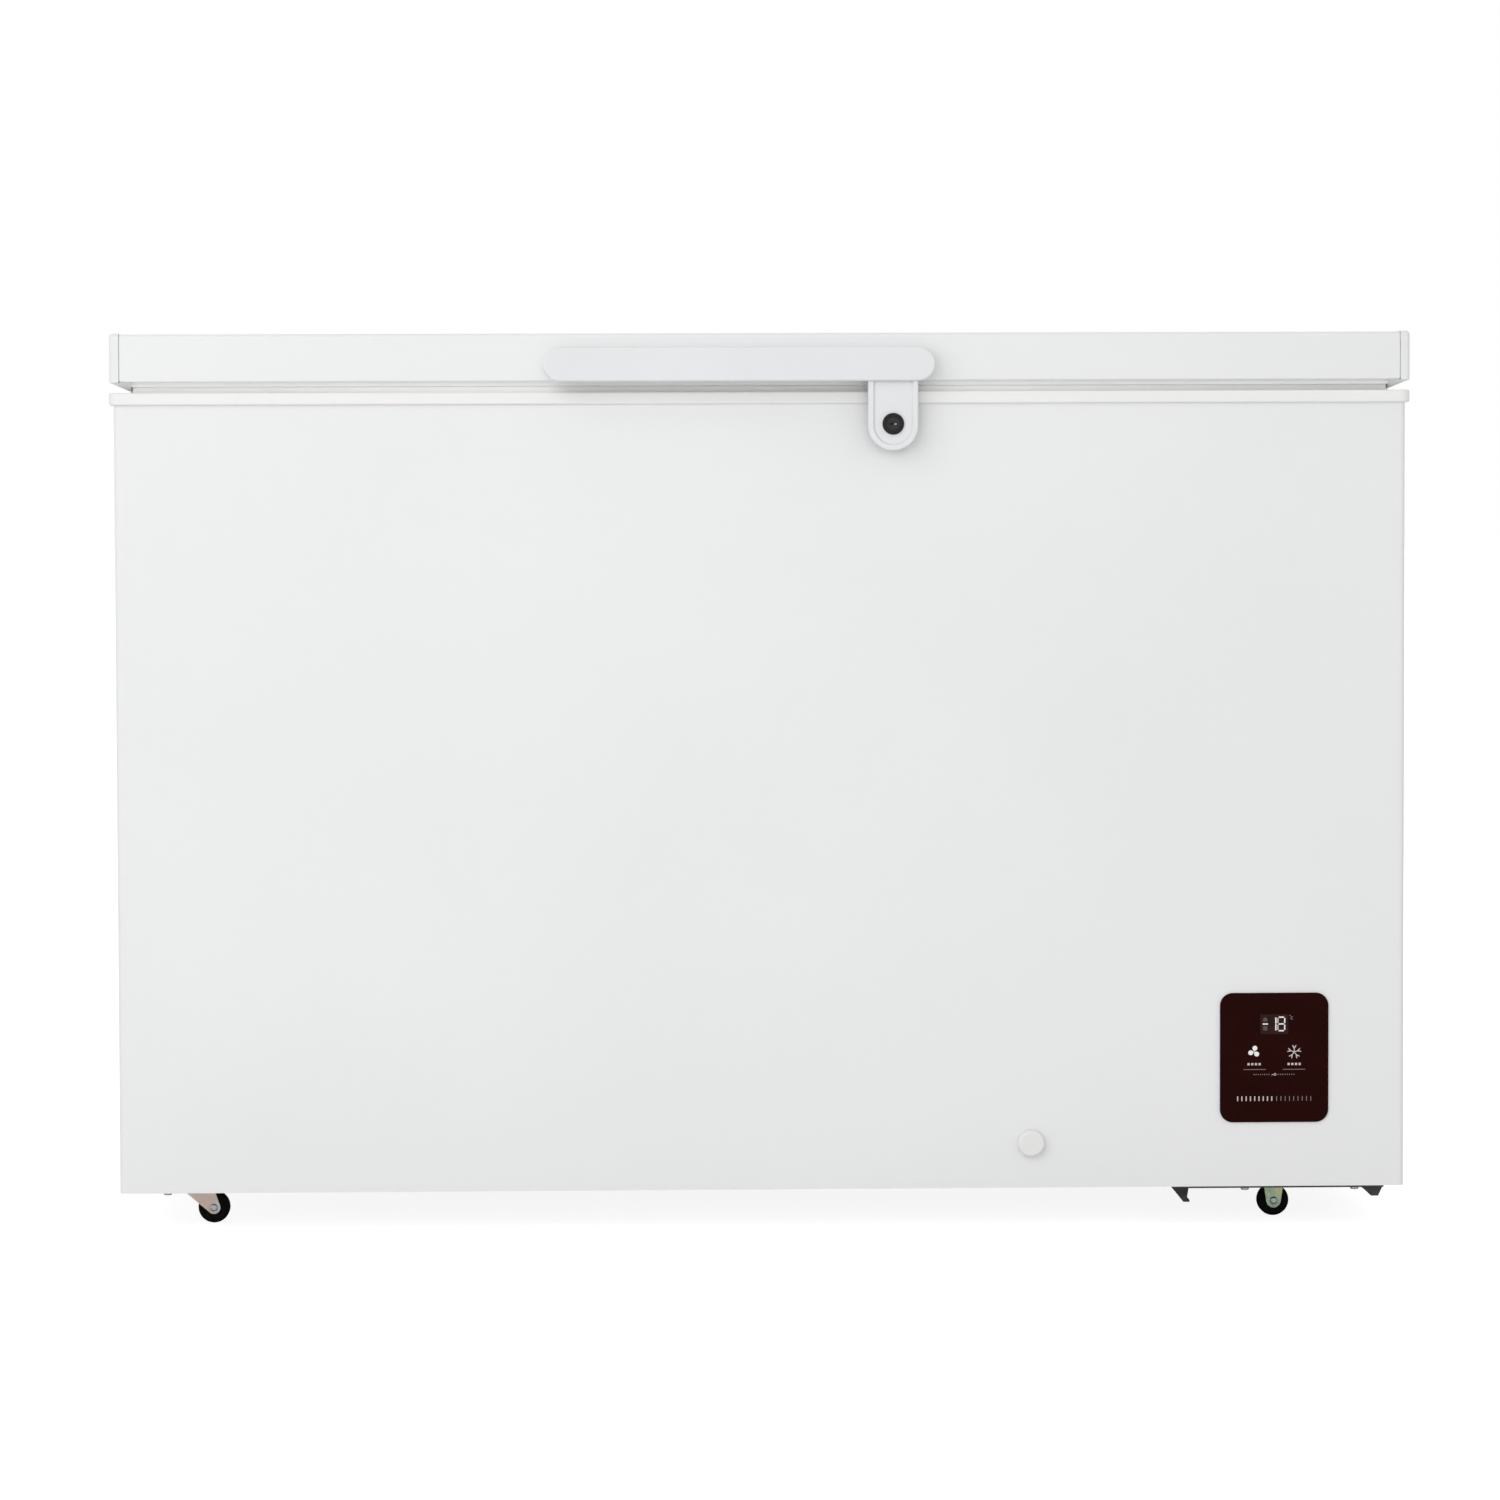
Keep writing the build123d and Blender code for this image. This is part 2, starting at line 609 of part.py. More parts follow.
# Refrigerant routes
condenser_front = INNER_FRONT + CONDENSER_DEPTH
condenser_back = INNER_BACK - CONDENSER_DEPTH
condenser_left = -INNER_SIDE + CONDENSER_DEPTH
condenser_turn = BAY_LEFT - STEP_FOAM
condenser_inner_turn = condenser_turn - STEP_FOAM
inlet_z = BASE_TOP + FLOOR_FOAM / 4
outlet_z = BAY_TOP - STEP_FOAM
upper_z = STEP_Z + STEP_FOAM * 2
top_z = SHELL_TOP - STEP_FOAM * 4
bay_entry = BAY_LEFT + STEP_FOAM
drier_x = BAY_LEFT + STEP_FOAM
drier_start = condenser_front + STEP_FOAM
condenser_route = [
    (bay_entry, condenser_front, inlet_z),
    (condenser_left, condenser_front, inlet_z),
    (condenser_left, condenser_back, inlet_z),
    (condenser_turn, condenser_back, inlet_z),
    (condenser_turn, condenser_back, top_z),
    (condenser_left, condenser_back, top_z),
    (condenser_left, condenser_front, top_z),
    (condenser_turn, condenser_front, top_z),
    (condenser_turn, condenser_front, upper_z),
    (condenser_left, condenser_front, upper_z),
    (condenser_left, condenser_back, upper_z),
    (condenser_inner_turn, condenser_back, upper_z),
    (condenser_inner_turn, condenser_back, outlet_z),
    (condenser_left, condenser_back, outlet_z),
    (condenser_left, condenser_front, outlet_z),
    (drier_x, condenser_front, outlet_z),
    (drier_x, drier_start, outlet_z),
]
evaporator_offset = EVAPORATOR_GAP + EVAPORATOR_RADIUS
evaporator_bend = TUB_EDGE + evaporator_offset
evaporator_side = TUB_SIDE + evaporator_offset
evaporator_front = TUB_FRONT - evaporator_offset
evaporator_back = TUB_BACK + evaporator_offset
evaporator_low = STEP_Z + STEP_FOAM
evaporator_pitch = (SHELL_TOP - STEP_FOAM * 2 - evaporator_low) / EVAPORATOR_LOOPS
evaporator_riser = evaporator_side + 5 * EVAPORATOR_RADIUS
bay_stub = BAY_TOP - STEP_FOAM / 3
feed_y = MIDDLE - STEP_FOAM
return_y = MIDDLE + STEP_FOAM
evaporator_route = [(evaporator_side, feed_y, bay_stub), (evaporator_side, feed_y, evaporator_low)]
for loop in range(EVAPORATOR_LOOPS):
    level = evaporator_low + loop * evaporator_pitch
    evaporator_route += [
        (evaporator_side, evaporator_back, level),
        (-evaporator_side, evaporator_back, level),
        (-evaporator_side, evaporator_front, level + evaporator_pitch),
        (evaporator_side, evaporator_front, level + evaporator_pitch),
    ]
evaporator_high = evaporator_low + EVAPORATOR_LOOPS * evaporator_pitch
evaporator_route += [
    (evaporator_side, feed_y, evaporator_high),
    (evaporator_riser, return_y, evaporator_high),
    (evaporator_riser, return_y + 2 * STEP_FOAM, evaporator_high),
    (evaporator_riser, return_y + 2 * STEP_FOAM, bay_stub),
]
suction_top = (evaporator_riser, return_y + 2 * STEP_FOAM, bay_stub)
compressor_front = COMPRESSOR_Y - COMPRESSOR_HALF_Y
stub_y = compressor_front - LINE_BEND
discharge_x = COMPRESSOR_X - COMPRESSOR_HALF_X / 3
suction_x = COMPRESSOR_X + COMPRESSOR_HALF_X / 3
stub_z = COMPRESSOR_FEET + COMPRESSOR_HEIGHT / 2 + WELD_HEIGHT * 3

condenser_coil = pipe(condenser_route, CONDENSER_BEND, CONDENSER_RADIUS)
condenser_groove = pipe(condenser_route, CONDENSER_BEND, CONDENSER_RADIUS + TUBE_GROOVE)
evaporator_coil = pipe(evaporator_route, evaporator_bend, EVAPORATOR_RADIUS)
evaporator_groove = pipe(evaporator_route, evaporator_bend, EVAPORATOR_RADIUS + TUBE_GROOVE)
drain_route = [(DRAIN_X, FRONT, DRAIN_Z), (DRAIN_X, DRAIN_Y, DRAIN_Z), (DRAIN_X, DRAIN_Y, TUB_FLOOR)]
drain_body = pipe(drain_route, DRAIN_BEND, DRAIN_TUBE_RADIUS)
drain_hole = pipe(drain_route, DRAIN_BEND, DRAIN_BORE)
save(condenser_coil, "condenser_coil")
save(evaporator_coil, "evaporator_coil")

# Cabinet shell, back and base
with BuildPart() as cabinet_shell:
    extrude(cabinet_plan(0, INNER_BACK, CABINET_BOTTOM), amount=SHELL_HEIGHT)
    extrude(cabinet_plan(SHEET, BACK, BASE_LOW), amount=SHELL_HEIGHT, mode=Mode.SUBTRACT)
    block((-SIDE + HEM_WIDTH, SIDE - HEM_WIDTH), (FRONT + HEM_WIDTH, BACK),
          (CABINET_BOTTOM - SHEET, BASE_LOW + SHEET), Mode.SUBTRACT)
    with BuildSketch(FRONT_PLANE) as openings:
        with Locations((PANEL_X, PANEL_Z)):
            RectangleRounded(PANEL_WIDTH - 2 * PANEL_BORDER, PANEL_HEIGHT - 2 * PANEL_BORDER,
                             PANEL_CORNER - PANEL_BORDER)
        with Locations((DRAIN_X, DRAIN_Z)):
            Circle(DRAIN_TUBE_RADIUS)
    extrude(openings.sketch, amount=2 * SHEET, both=True, mode=Mode.SUBTRACT)
    screw_bores(base_seats, DOWNWARD)
save(cabinet_shell.part, "cabinet_shell")

with BuildPart() as back_panel:
    block((-SIDE, SIDE), (INNER_BACK, BACK), (CABINET_BOTTOM, SHELL_TOP))
    block(WINDOW_X, (INNER_BACK - SHEET, BACK + SHEET), WINDOW_Z, Mode.SUBTRACT)
    rod((GLAND_PLACE[0], INNER_BACK - SHEET, GLAND_PLACE[1]), (GLAND_PLACE[0], BACK + SHEET, GLAND_PLACE[1]),
        GLAND_RADIUS, Mode.SUBTRACT)
    swage_low, swage_high = STEP_Z, HINGE_PLATE_LOW - SWAGE_WIDTH
    with BuildSketch(BACK_PLANE) as swages:
        with GridLocations((CABINET_WIDTH - 2 * SWAGE_MARGIN) / SWAGE_COUNT, 0, SWAGE_COUNT, 1):
            with Locations((0, (swage_low + swage_high) / 2)):
                SlotOverall(swage_high - swage_low, SWAGE_WIDTH, rotation=90)
    extrude(swages.sketch, amount=SWAGE_RISE, taper=45)
    screw_bores(cabinet_seats, BACKWARD)
save(back_panel.part, "back_panel")

with BuildPart() as base_panel:
    block((-INNER_SIDE + SHELL_CORNER, BAY_LEFT), (INNER_FRONT + SHELL_CORNER, INNER_BACK), (BASE_LOW, BASE_TOP))
    screw_bores(base_seats, DOWNWARD)
save(base_panel.part, "base_panel")

with BuildPart() as bay_partition:
    block((BAY_LEFT, BAY_LEFT + SHEET), (INNER_FRONT, INNER_BACK), (BASE_LOW, BAY_TOP))
    block((BAY_LEFT, INNER_SIDE), (INNER_FRONT, INNER_BACK), (BAY_TOP - SHEET, BAY_TOP))
    extrude(cabinet_plan(SHEET, INNER_BACK, BASE_LOW), amount=BAY_TOP - BASE_LOW, mode=Mode.INTERSECT)
    for pass_z in (inlet_z, outlet_z):
        rod((BAY_LEFT - SHEET, condenser_front, pass_z), (BAY_LEFT + 2 * SHEET, condenser_front, pass_z),
            CONDENSER_RADIUS + TUBE_GROOVE, Mode.SUBTRACT)
    for pass_x, pass_y in ((evaporator_side, feed_y), (suction_top[0], suction_top[1])):
        rod((pass_x, pass_y, BAY_TOP - 2 * SHEET), (pass_x, pass_y, BAY_TOP + SHEET),
            EVAPORATOR_RADIUS + TUBE_GROOVE, Mode.SUBTRACT)
save(bay_partition.part, "bay_partition")

# Insulation, liner and collar
tub_outer = tub_form(0)
tub_inner = tub_form(LINER_SHEET)
with BuildPart() as insulation_foam:
    extrude(cabinet_plan(SHEET, INNER_BACK, BASE_TOP), amount=SHELL_TOP - LINER_SHEET - BASE_TOP)
    add(tub_outer, mode=Mode.SUBTRACT)
    block((BAY_LEFT, SIDE), (FRONT, BACK), (CABINET_BOTTOM, BAY_TOP), Mode.SUBTRACT)
    add(drain_body, mode=Mode.SUBTRACT)
    add(condenser_groove, mode=Mode.SUBTRACT)
    add(evaporator_groove, mode=Mode.SUBTRACT)
    screw_bores(base_seats, DOWNWARD)
    screw_bores(cabinet_seats, BACKWARD)
save(insulation_foam.part, "insulation_foam")

with BuildPart() as inner_liner:
    add(tub_outer)
    plan_block((-TUB_SIDE - TUB_FLANGE, TUB_SIDE + TUB_FLANGE), (TUB_FRONT - TUB_FLANGE, TUB_BACK + TUB_FLANGE),
               (SHELL_TOP - LINER_SHEET, SHELL_TOP), TUB_EDGE + TUB_FLANGE)
    add(tub_inner, mode=Mode.SUBTRACT)
    rod((DRAIN_X, DRAIN_Y, TUB_FLOOR - LINER_SHEET), (DRAIN_X, DRAIN_Y, TUB_FLOOR + 2 * LINER_SHEET), DRAIN_BORE,
        Mode.SUBTRACT)
save(inner_liner.part, "inner_liner")

with BuildPart() as top_collar:
    plan_block((-SIDE - COLLAR_OVERHANG, SIDE + COLLAR_OVERHANG), (FRONT - COLLAR_OVERHANG, BACK + COLLAR_OVERHANG),
               (COLLAR_LOW, COLLAR_TOP), SHELL_CORNER + COLLAR_OVERHANG)
    fillet(top_collar.edges().filter_by(Axis.Z, reverse=True), COLLAR_ROUND)
    extrude(cabinet_plan(0, BACK, COLLAR_LOW - COLLAR_DECK), amount=COLLAR_SKIRT, mode=Mode.SUBTRACT)
    opening_x = (-TUB_SIDE + LINER_SHEET, TUB_SIDE - LINER_SHEET)
    opening_y = (TUB_FRONT + LINER_SHEET, TUB_BACK - LINER_SHEET)
    opening_radius = TUB_EDGE - LINER_SHEET
    plan_block(opening_x, opening_y, (COLLAR_LOW, COLLAR_TOP + COLLAR_DECK), opening_radius, Mode.SUBTRACT)
    plan_ring(opening_x, opening_y, (LEDGE_TOP - LEDGE_THICKNESS, COLLAR_TOP), LEDGE_WALL, opening_radius,
              opening_radius - LEDGE_WALL)
    plan_ring(opening_x, opening_y, (LEDGE_TOP - LEDGE_THICKNESS, LEDGE_TOP), LEDGE_WALL + LEDGE_WIDTH,
              opening_radius, opening_radius - LEDGE_WALL - LEDGE_WIDTH / 2)
save(top_collar.part, "top_collar")

# Machine bay
with BuildPart() as compressor_plate:
    block((PLATE_LEFT, PLATE_RIGHT), (FRONT + PLATE_SETBACK, BACK - PLATE_SETBACK), (PLATE_LOW, PLATE_TOP))
    rails = (
        (PLATE_LEFT, 1, LEFT_RAIL_TOP, LEFT_RAIL_TOE, LEFT_RAIL_LEAN, LEFT_RAIL_DROP, LEFT_RAIL_SETBACK),
        (PLATE_RIGHT, -1, RIGHT_RAIL_TOP, RIGHT_RAIL_TOE, RIGHT_RAIL_LEAN, RIGHT_RAIL_DROP, RIGHT_RAIL_SETBACK),
    )
    for edge, inward, top_width, toe, lean, drop, setback in rails:
        foot = edge + inward * lean
        low = PLATE_LOW - drop
        wall = inward * 1.4 * RAIL_SHEET
        start, end = FRONT + setback, BACK - setback
        polygon(front_plane(start), [(edge, PLATE_LOW), (edge + wall, PLATE_LOW), (foot + wall, low), (foot, low)],
                start - end)
        polygon(front_plane(start), [(foot, low), (foot + inward * toe, low),
                                     (foot + inward * toe, low + RAIL_SHEET), (foot, low + RAIL_SHEET)], start - end)
        gusset = [(edge, PLATE_LOW), (edge + inward * top_width, PLATE_LOW), (foot + inward * toe / 2, low),
                  (foot, low)]
        polygon(front_plane(start), gusset, -RAIL_SHEET)
        polygon(front_plane(end), gusset, RAIL_SHEET)
    for x, y in FOOT_PLACES:
        rod((x, y, PLATE_LOW - SHEET), (x, y, PLATE_TOP + SHEET), STUD_RADIUS, Mode.SUBTRACT)
    screw_bores(base_seats, DOWNWARD)
save(compressor_plate.part, "compressor_plate")

with BuildPart() as compressor:
    with BuildSketch(Plane.XY.offset(COMPRESSOR_FEET + FOOT_SHEET / 2)):
        with Locations((COMPRESSOR_X, COMPRESSOR_Y)):
            Ellipse(COMPRESSOR_HALF_X, COMPRESSOR_HALF_Y)
    extrude(amount=COMPRESSOR_HEIGHT)
    fillet(compressor.faces().sort_by(Axis.Z)[-1].edges(), COMPRESSOR_HALF_X * 0.55)
    fillet(compressor.faces().sort_by(Axis.Z)[0].edges(), COMPRESSOR_HALF_X * 0.2)
    with BuildSketch(Plane.XY.offset(COMPRESSOR_FEET + COMPRESSOR_HEIGHT / 2)):
        with Locations((COMPRESSOR_X, COMPRESSOR_Y)):
            Ellipse(COMPRESSOR_HALF_X + WELD_RIM, COMPRESSOR_HALF_Y + WELD_RIM)
    extrude(amount=WELD_HEIGHT)
    for x in (COMPRESSOR_X - FOOT_SPAN_X / 2, COMPRESSOR_X + FOOT_SPAN_X / 2):
        half_length = FOOT_SPAN_Y / 2 + FOOT_WIDTH / 2
        plan_block((x - FOOT_WIDTH / 2, x + FOOT_WIDTH / 2), (COMPRESSOR_Y - half_length, COMPRESSOR_Y + half_length),
                   (COMPRESSOR_FEET, COMPRESSOR_FEET + FOOT_SHEET), FOOT_WIDTH / 3)
    for x, y in FOOT_PLACES:
        rod((x, y, COMPRESSOR_FEET - SHEET), (x, y, COMPRESSOR_FEET + FOOT_SHEET + SHEET), STUD_RADIUS + STUD_FIT,
            Mode.SUBTRACT)
    for stub_x in (discharge_x, suction_x):
        rod((stub_x, stub_y, stub_z), (stub_x, COMPRESSOR_Y, stub_z), LINE_RADIUS)
save(compressor.part, "compressor")

with BuildPart() as compressor_grommets:
    for x, y in FOOT_PLACES:
        rod((x, y, PLATE_TOP), (x, y, COMPRESSOR_FEET), GROMMET_RADIUS)
    fillet(compressor_grommets.edges().filter_by(GeomType.CIRCLE), GROMMET_RADIUS / 6)
    for x, y in FOOT_PLACES:
        rod((x, y, PLATE_TOP), (x, y, COMPRESSOR_FEET), STUD_RADIUS + STUD_FIT, Mode.SUBTRACT)
save(compressor_grommets.part, "compressor_grommets")

with BuildPart() as compressor_bolts:
    nut_low = COMPRESSOR_FEET + FOOT_SHEET
    for x, y in FOOT_PLACES:
        rod((x, y, PLATE_LOW), (x, y, nut_low + STUD_RADIUS * 2.5), STUD_RADIUS)
        with BuildSketch(Plane.XY.offset(nut_low)) as nut:
            with Locations((x, y)):
                RegularPolygon(STUD_RADIUS * 1.8, 6)
        extrude(nut.sketch, amount=STUD_RADIUS * 1.5)
save(compressor_bolts.part, "compressor_bolts")

with BuildPart() as terminal_cover:
    cover_x = COMPRESSOR_X - COMPRESSOR_HALF_X - WELD_RIM
    cover_z = COMPRESSOR_FEET + COMPRESSOR_HEIGHT / 4
    block((cover_x - COVER_DEPTH, cover_x), (COMPRESSOR_Y - COVER_WIDTH / 2, COMPRESSOR_Y + COVER_WIDTH / 2),
          (cover_z, cover_z + COVER_HEIGHT))
    fillet(terminal_cover.faces().sort_by(Axis.X)[0].edges(), COVER_DEPTH / 6)
save(terminal_cover.part, "terminal_cover")

with BuildPart() as filter_drier:
    drier_end = drier_start + DRIER_LENGTH
    neck = DRIER_RADIUS * 1.5
    with BuildSketch(Plane.XY.offset(outlet_z)) as half_section:
        with BuildLine():
            Polyline((drier_x, drier_start), (drier_x + LINE_RADIUS, drier_start),
                     (drier_x + DRIER_RADIUS, drier_start + neck), (drier_x + DRIER_RADIUS, drier_end - neck),
                     (drier_x + CAPILLARY_RADIUS * 2, drier_end), (drier_x, drier_end), close=True)
        make_face()
    revolve(half_section.sketch, axis=Axis((drier_x, drier_start, outlet_z), (0, 1, 0)))
save(filter_drier.part, "filter_drier")

discharge_line = pipe([(discharge_x, stub_y, stub_z), (discharge_x, stub_y - 2 * STEP_FOAM, stub_z),
                       (discharge_x, condenser_front + 2 * STEP_FOAM, inlet_z),
                       (discharge_x, condenser_front, inlet_z), (bay_entry, condenser_front, inlet_z)],
                      LINE_BEND / 2, CONDENSER_RADIUS)
suction_turn = stub_y - STEP_FOAM * 1.5
suction_line = pipe([suction_top, (suction_top[0], suction_top[1], stub_z + STEP_FOAM),
                     (suction_top[0], suction_turn, stub_z + STEP_FOAM), (suction_top[0], suction_turn, stub_z),
                     (suction_x, suction_turn, stub_z), (suction_x, stub_y, stub_z)],
                    LINE_BEND * 0.8, LINE_RADIUS)
capillary_tube = pipe([(drier_x, drier_end, outlet_z), (drier_x, drier_end + STEP_FOAM, outlet_z),
                       (evaporator_side, feed_y, outlet_z), (evaporator_side, feed_y, bay_stub)],
                      LINE_BEND / 2, CAPILLARY_RADIUS)
save(discharge_line, "discharge_line")
save(suction_line, "suction_line")
save(capillary_tube, "capillary_tube")

louvre_count = int((WINDOW_Z[1] - WINDOW_Z[0]) / LOUVRE_PITCH)
with BuildPart() as rear_grille:
    block(grille_x, (BACK, BACK + GRILLE_SHEET), grille_z)
    fillet(rear_grille.faces().sort_by(Axis.Y)[-1].edges(), GRILLE_SHEET / 3)
    for row in range(louvre_count):
        slot_z = WINDOW_Z[0] + (row + 0.5) * LOUVRE_PITCH
        slot_x = (WINDOW_X[0] + GRILLE_LAP, WINDOW_X[1] - GRILLE_LAP)
        block(slot_x, (BACK - SHEET, BACK + 2 * GRILLE_SHEET), (slot_z, slot_z + LOUVRE_SLOT), Mode.SUBTRACT)
        hood_low, hood_top = slot_z + LOUVRE_SLOT, slot_z + LOUVRE_SLOT * 1.6
        rim = BACK + GRILLE_SHEET
        polygon(Plane.YZ.offset(slot_x[0]), [(rim - SHEET, hood_low), (rim + LOUVRE_HOOD, slot_z),
                                             (rim + LOUVRE_HOOD, slot_z + SHEET), (rim - SHEET, hood_top)],
                slot_x[1] - slot_x[0])
    screw_bores(cabinet_seats, BACKWARD)
save(rear_grille.part, "rear_grille")

with BuildPart() as power_gland:
    gland_x, gland_z = GLAND_PLACE
    rod((gland_x, INNER_BACK - GLAND_RADIUS, gland_z), (gland_x, BACK, gland_z), GLAND_RADIUS)
    rod((gland_x, BACK, gland_z), (gland_x, BACK + GLAND_RADIUS, gland_z), GLAND_FLANGE)
    fillet(power_gland.faces().sort_by(Axis.Y)[-1].edges(), GLAND_RADIUS / 2)
    rod((gland_x, INNER_BACK - GLAND_RADIUS, gland_z), (gland_x, BACK + GLAND_RADIUS, gland_z), GLAND_RADIUS / 2,
        Mode.SUBTRACT)
save(power_gland.part, "power_gland")

# Drain
with BuildPart() as drain_tube:
    add(drain_body)
    add(drain_hole, mode=Mode.SUBTRACT)
save(drain_tube.part, "drain_tube")

with BuildPart() as drain_cap:
    cap_back = FRONT - PLUG_GAP
    rod((DRAIN_X, cap_back, DRAIN_Z), (DRAIN_X, cap_back - CAP_HEAD, DRAIN_Z), CAP_RADIUS)
    fillet(drain_cap.faces().sort_by(Axis.Y)[0].edges(), CAP_ROUND)
    rod((DRAIN_X, cap_back, DRAIN_Z), (DRAIN_X, cap_back + CAP_STEM, DRAIN_Z), DRAIN_BORE - PLUG_GAP)
save(drain_cap.part, "drain_cap")

with BuildPart() as drain_stopper:
    stopper_low = TUB_FLOOR + LINER_SHEET + PLUG_GAP
    rod((DRAIN_X, DRAIN_Y, stopper_low), (DRAIN_X, DRAIN_Y, stopper_low + STOPPER_HEAD), STOPPER_RADIUS)
    fillet(drain_stopper.faces().sort_by(Axis.Z)[-1].edges(), STOPPER_HEAD / 2)
    rod((DRAIN_X, DRAIN_Y, stopper_low), (DRAIN_X, DRAIN_Y, stopper_low - STOPPER_STEM), DRAIN_BORE - PLUG_GAP)
save(drain_stopper.part, "drain_stopper")

# Control panel
with BuildPart() as control_panel:
    with BuildSketch(FRONT_PLANE):
        with Locations((PANEL_X, PANEL_Z)):
            RectangleRounded(PANEL_WIDTH, PANEL_HEIGHT, PANEL_CORNER)
    extrude(amount=PANEL_THICKNESS)
    fillet(control_panel.faces().sort_by(Axis.Y)[0].edges(), PANEL_ROUND)
save(control_panel.part, "control_panel")

housing_width = PANEL_WIDTH - 2 * PANEL_BORDER
housing_height = PANEL_HEIGHT - 2 * PANEL_BORDER
housing_corner = PANEL_CORNER - PANEL_BORDER
with BuildPart() as control_housing:
    with BuildSketch(FRONT_PLANE):
        with Locations((PANEL_X, PANEL_Z)):
            RectangleRounded(housing_width, housing_height, housing_corner)
    extrude(amount=-HOUSING_DEPTH)
    with BuildSketch(FRONT_PLANE):
        with Locations((PANEL_X, PANEL_Z)):
            RectangleRounded(housing_width - 2 * HOUSING_WALL, housing_height - 2 * HOUSING_WALL,
                             housing_corner - HOUSING_WALL)
    extrude(amount=HOUSING_WALL - HOUSING_DEPTH, mode=Mode.SUBTRACT)
save(control_housing.part, "control_housing")

with BuildPart() as control_board:
    board_half_x = housing_width / 2 - HOUSING_WALL * 2
    board_half_z = housing_height / 2 - HOUSING_WALL * 2
    board_y = FRONT + BOARD_DEPTH
    board_x = (PANEL_X - board_half_x, PANEL_X + board_half_x)
    board_z = (PANEL_Z - board_half_z, PANEL_Z + board_half_z)
    block(board_x, (board_y, board_y + BOARD_SHEET), board_z)
    block((PANEL_X - board_half_x / 3, PANEL_X + board_half_x / 3), (FRONT + HOUSING_WALL, board_y),
          (PANEL_Z + board_half_z / 3, PANEL_Z + board_half_z * 0.8))
    for corner_x in board_x:
        inward = 1 if corner_x < PANEL_X else -1
        for corner_z in board_z:
            upward = 1 if corner_z < PANEL_Z else -1
            post_x, post_z = corner_x + inward * HOUSING_WALL * 2, corner_z + upward * HOUSING_WALL * 2
            rod((post_x, board_y, post_z), (post_x, FRONT + HOUSING_DEPTH - HOUSING_WALL, post_z), HOUSING_WALL)
    for button_x in (PANEL_X - board_half_x / 2, PANEL_X + board_half_x / 2):
        rod((button_x, FRONT + HOUSING_WALL, PANEL_Z), (button_x, board_y, PANEL_Z), HOUSING_WALL * 2)
save(control_board.part, "control_board")

# Lid
with BuildPart() as lid_panel:
    extrude(Plane.YZ.offset(-LID_PANEL_SIDE) * lid_outline(0), amount=2 * LID_PANEL_SIDE)
    extrude(Plane.YZ.offset(-LID_SIDE) * lid_outline(LID_SHEET), amount=2 * LID_SIDE, mode=Mode.SUBTRACT)
    block((-LID_SIDE, LID_SIDE), (LID_FRONT + LID_HEM, LID_BACK - LID_HEM), (LID_LOW - LID_SHEET, LID_LOW + LID_SHEET),
          Mode.SUBTRACT)
    screw_bores(lid_seats, BACKWARD)
save(lid_panel.part, "lid_panel")

right_wedge = belly_slice((BELLY_SIDE, LID_SIDE))
with BuildPart() as lid_end_cap:
    block((LID_PANEL_SIDE, LID_SIDE), (LID_FRONT - END_CAP_PROUD, LID_BACK + END_CAP_PROUD),
          (LID_LOW, LID_TOP + END_CAP_PROUD))
    fillet(lid_end_cap.edges().filter_by(Axis.X).group_by(Axis.Z)[-1], LID_EDGE)
    fillet(lid_end_cap.faces().sort_by(Axis.X)[-1].edges().sort_by(Axis.Z)[1:], END_CAP_ROUND)
    block((LID_PANEL_SIDE - END_CAP_WALL, LID_SIDE - END_CAP_WALL), (LID_FRONT + END_CAP_WALL, LID_BACK - END_CAP_WALL),
          (LID_LOW + END_CAP_WALL, LID_TOP - END_CAP_WALL), Mode.SUBTRACT)
    with BuildSketch(Plane.YZ.offset(LID_PANEL_SIDE)) as joint:
        with Locations((LID_MIDDLE, (LID_LOW + LID_TOP) / 2)):
            Rectangle(LID_BACK - LID_FRONT + 2 * END_CAP_WALL, LID_SKIRT + 2 * END_CAP_WALL)
        add(lid_outline(END_CAP_JOINT_DEPTH), mode=Mode.SUBTRACT)
    extrude(joint.sketch, amount=END_CAP_JOINT, mode=Mode.SUBTRACT)
    add(right_wedge)
save(lid_end_cap.part, "lid_end_cap_right")
save(mirror(lid_end_cap.part, about=Plane.YZ), "lid_end_cap_left")

belly_step = LID_LOW - BELLY_STEP_DROP
with BuildPart() as lid_liner:
    for inset, z in ((BELLY_STEP_INSET, (belly_step, LID_LOW)), (BELLY_SLOPE, (BELLY_LOW, belly_step))):
        block((-BELLY_SIDE, BELLY_SIDE), (LID_FRONT + inset, LID_BACK - inset), z)
        fillet(lid_liner.edges().filter_by(Axis.X).group_by(Axis.Z)[0], BELLY_STEP_ROUND)
    block((-BELLY_SIDE, BELLY_SIDE), (LID_FRONT + LID_HEM, LID_BACK - LID_HEM), (LID_LOW, LINER_TOP))
    groove_x, groove_y = lid_inset(GASKET_INSET)
    plan_ring(groove_x, groove_y, (BELLY_LOW - LINER_WALL, GASKET_TOP), GASKET_WIDTH, PAN_LIP, PAN_LIP, Mode.SUBTRACT)
    pan_x, pan_y = lid_inset(PAN_INSET)
    plan_block(pan_x, pan_y, (BELLY_LOW - LINER_WALL, PAN_Z), PAN_CORNER, Mode.SUBTRACT)
    core_x, core_y = lid_inset(PAN_INSET + LINER_WALL)
    plan_block(core_x, core_y, (PAN_Z + LINER_WALL, LINER_TOP + LINER_WALL), PAN_CORNER - LINER_WALL, Mode.SUBTRACT)
save(lid_liner.part, "lid_liner")

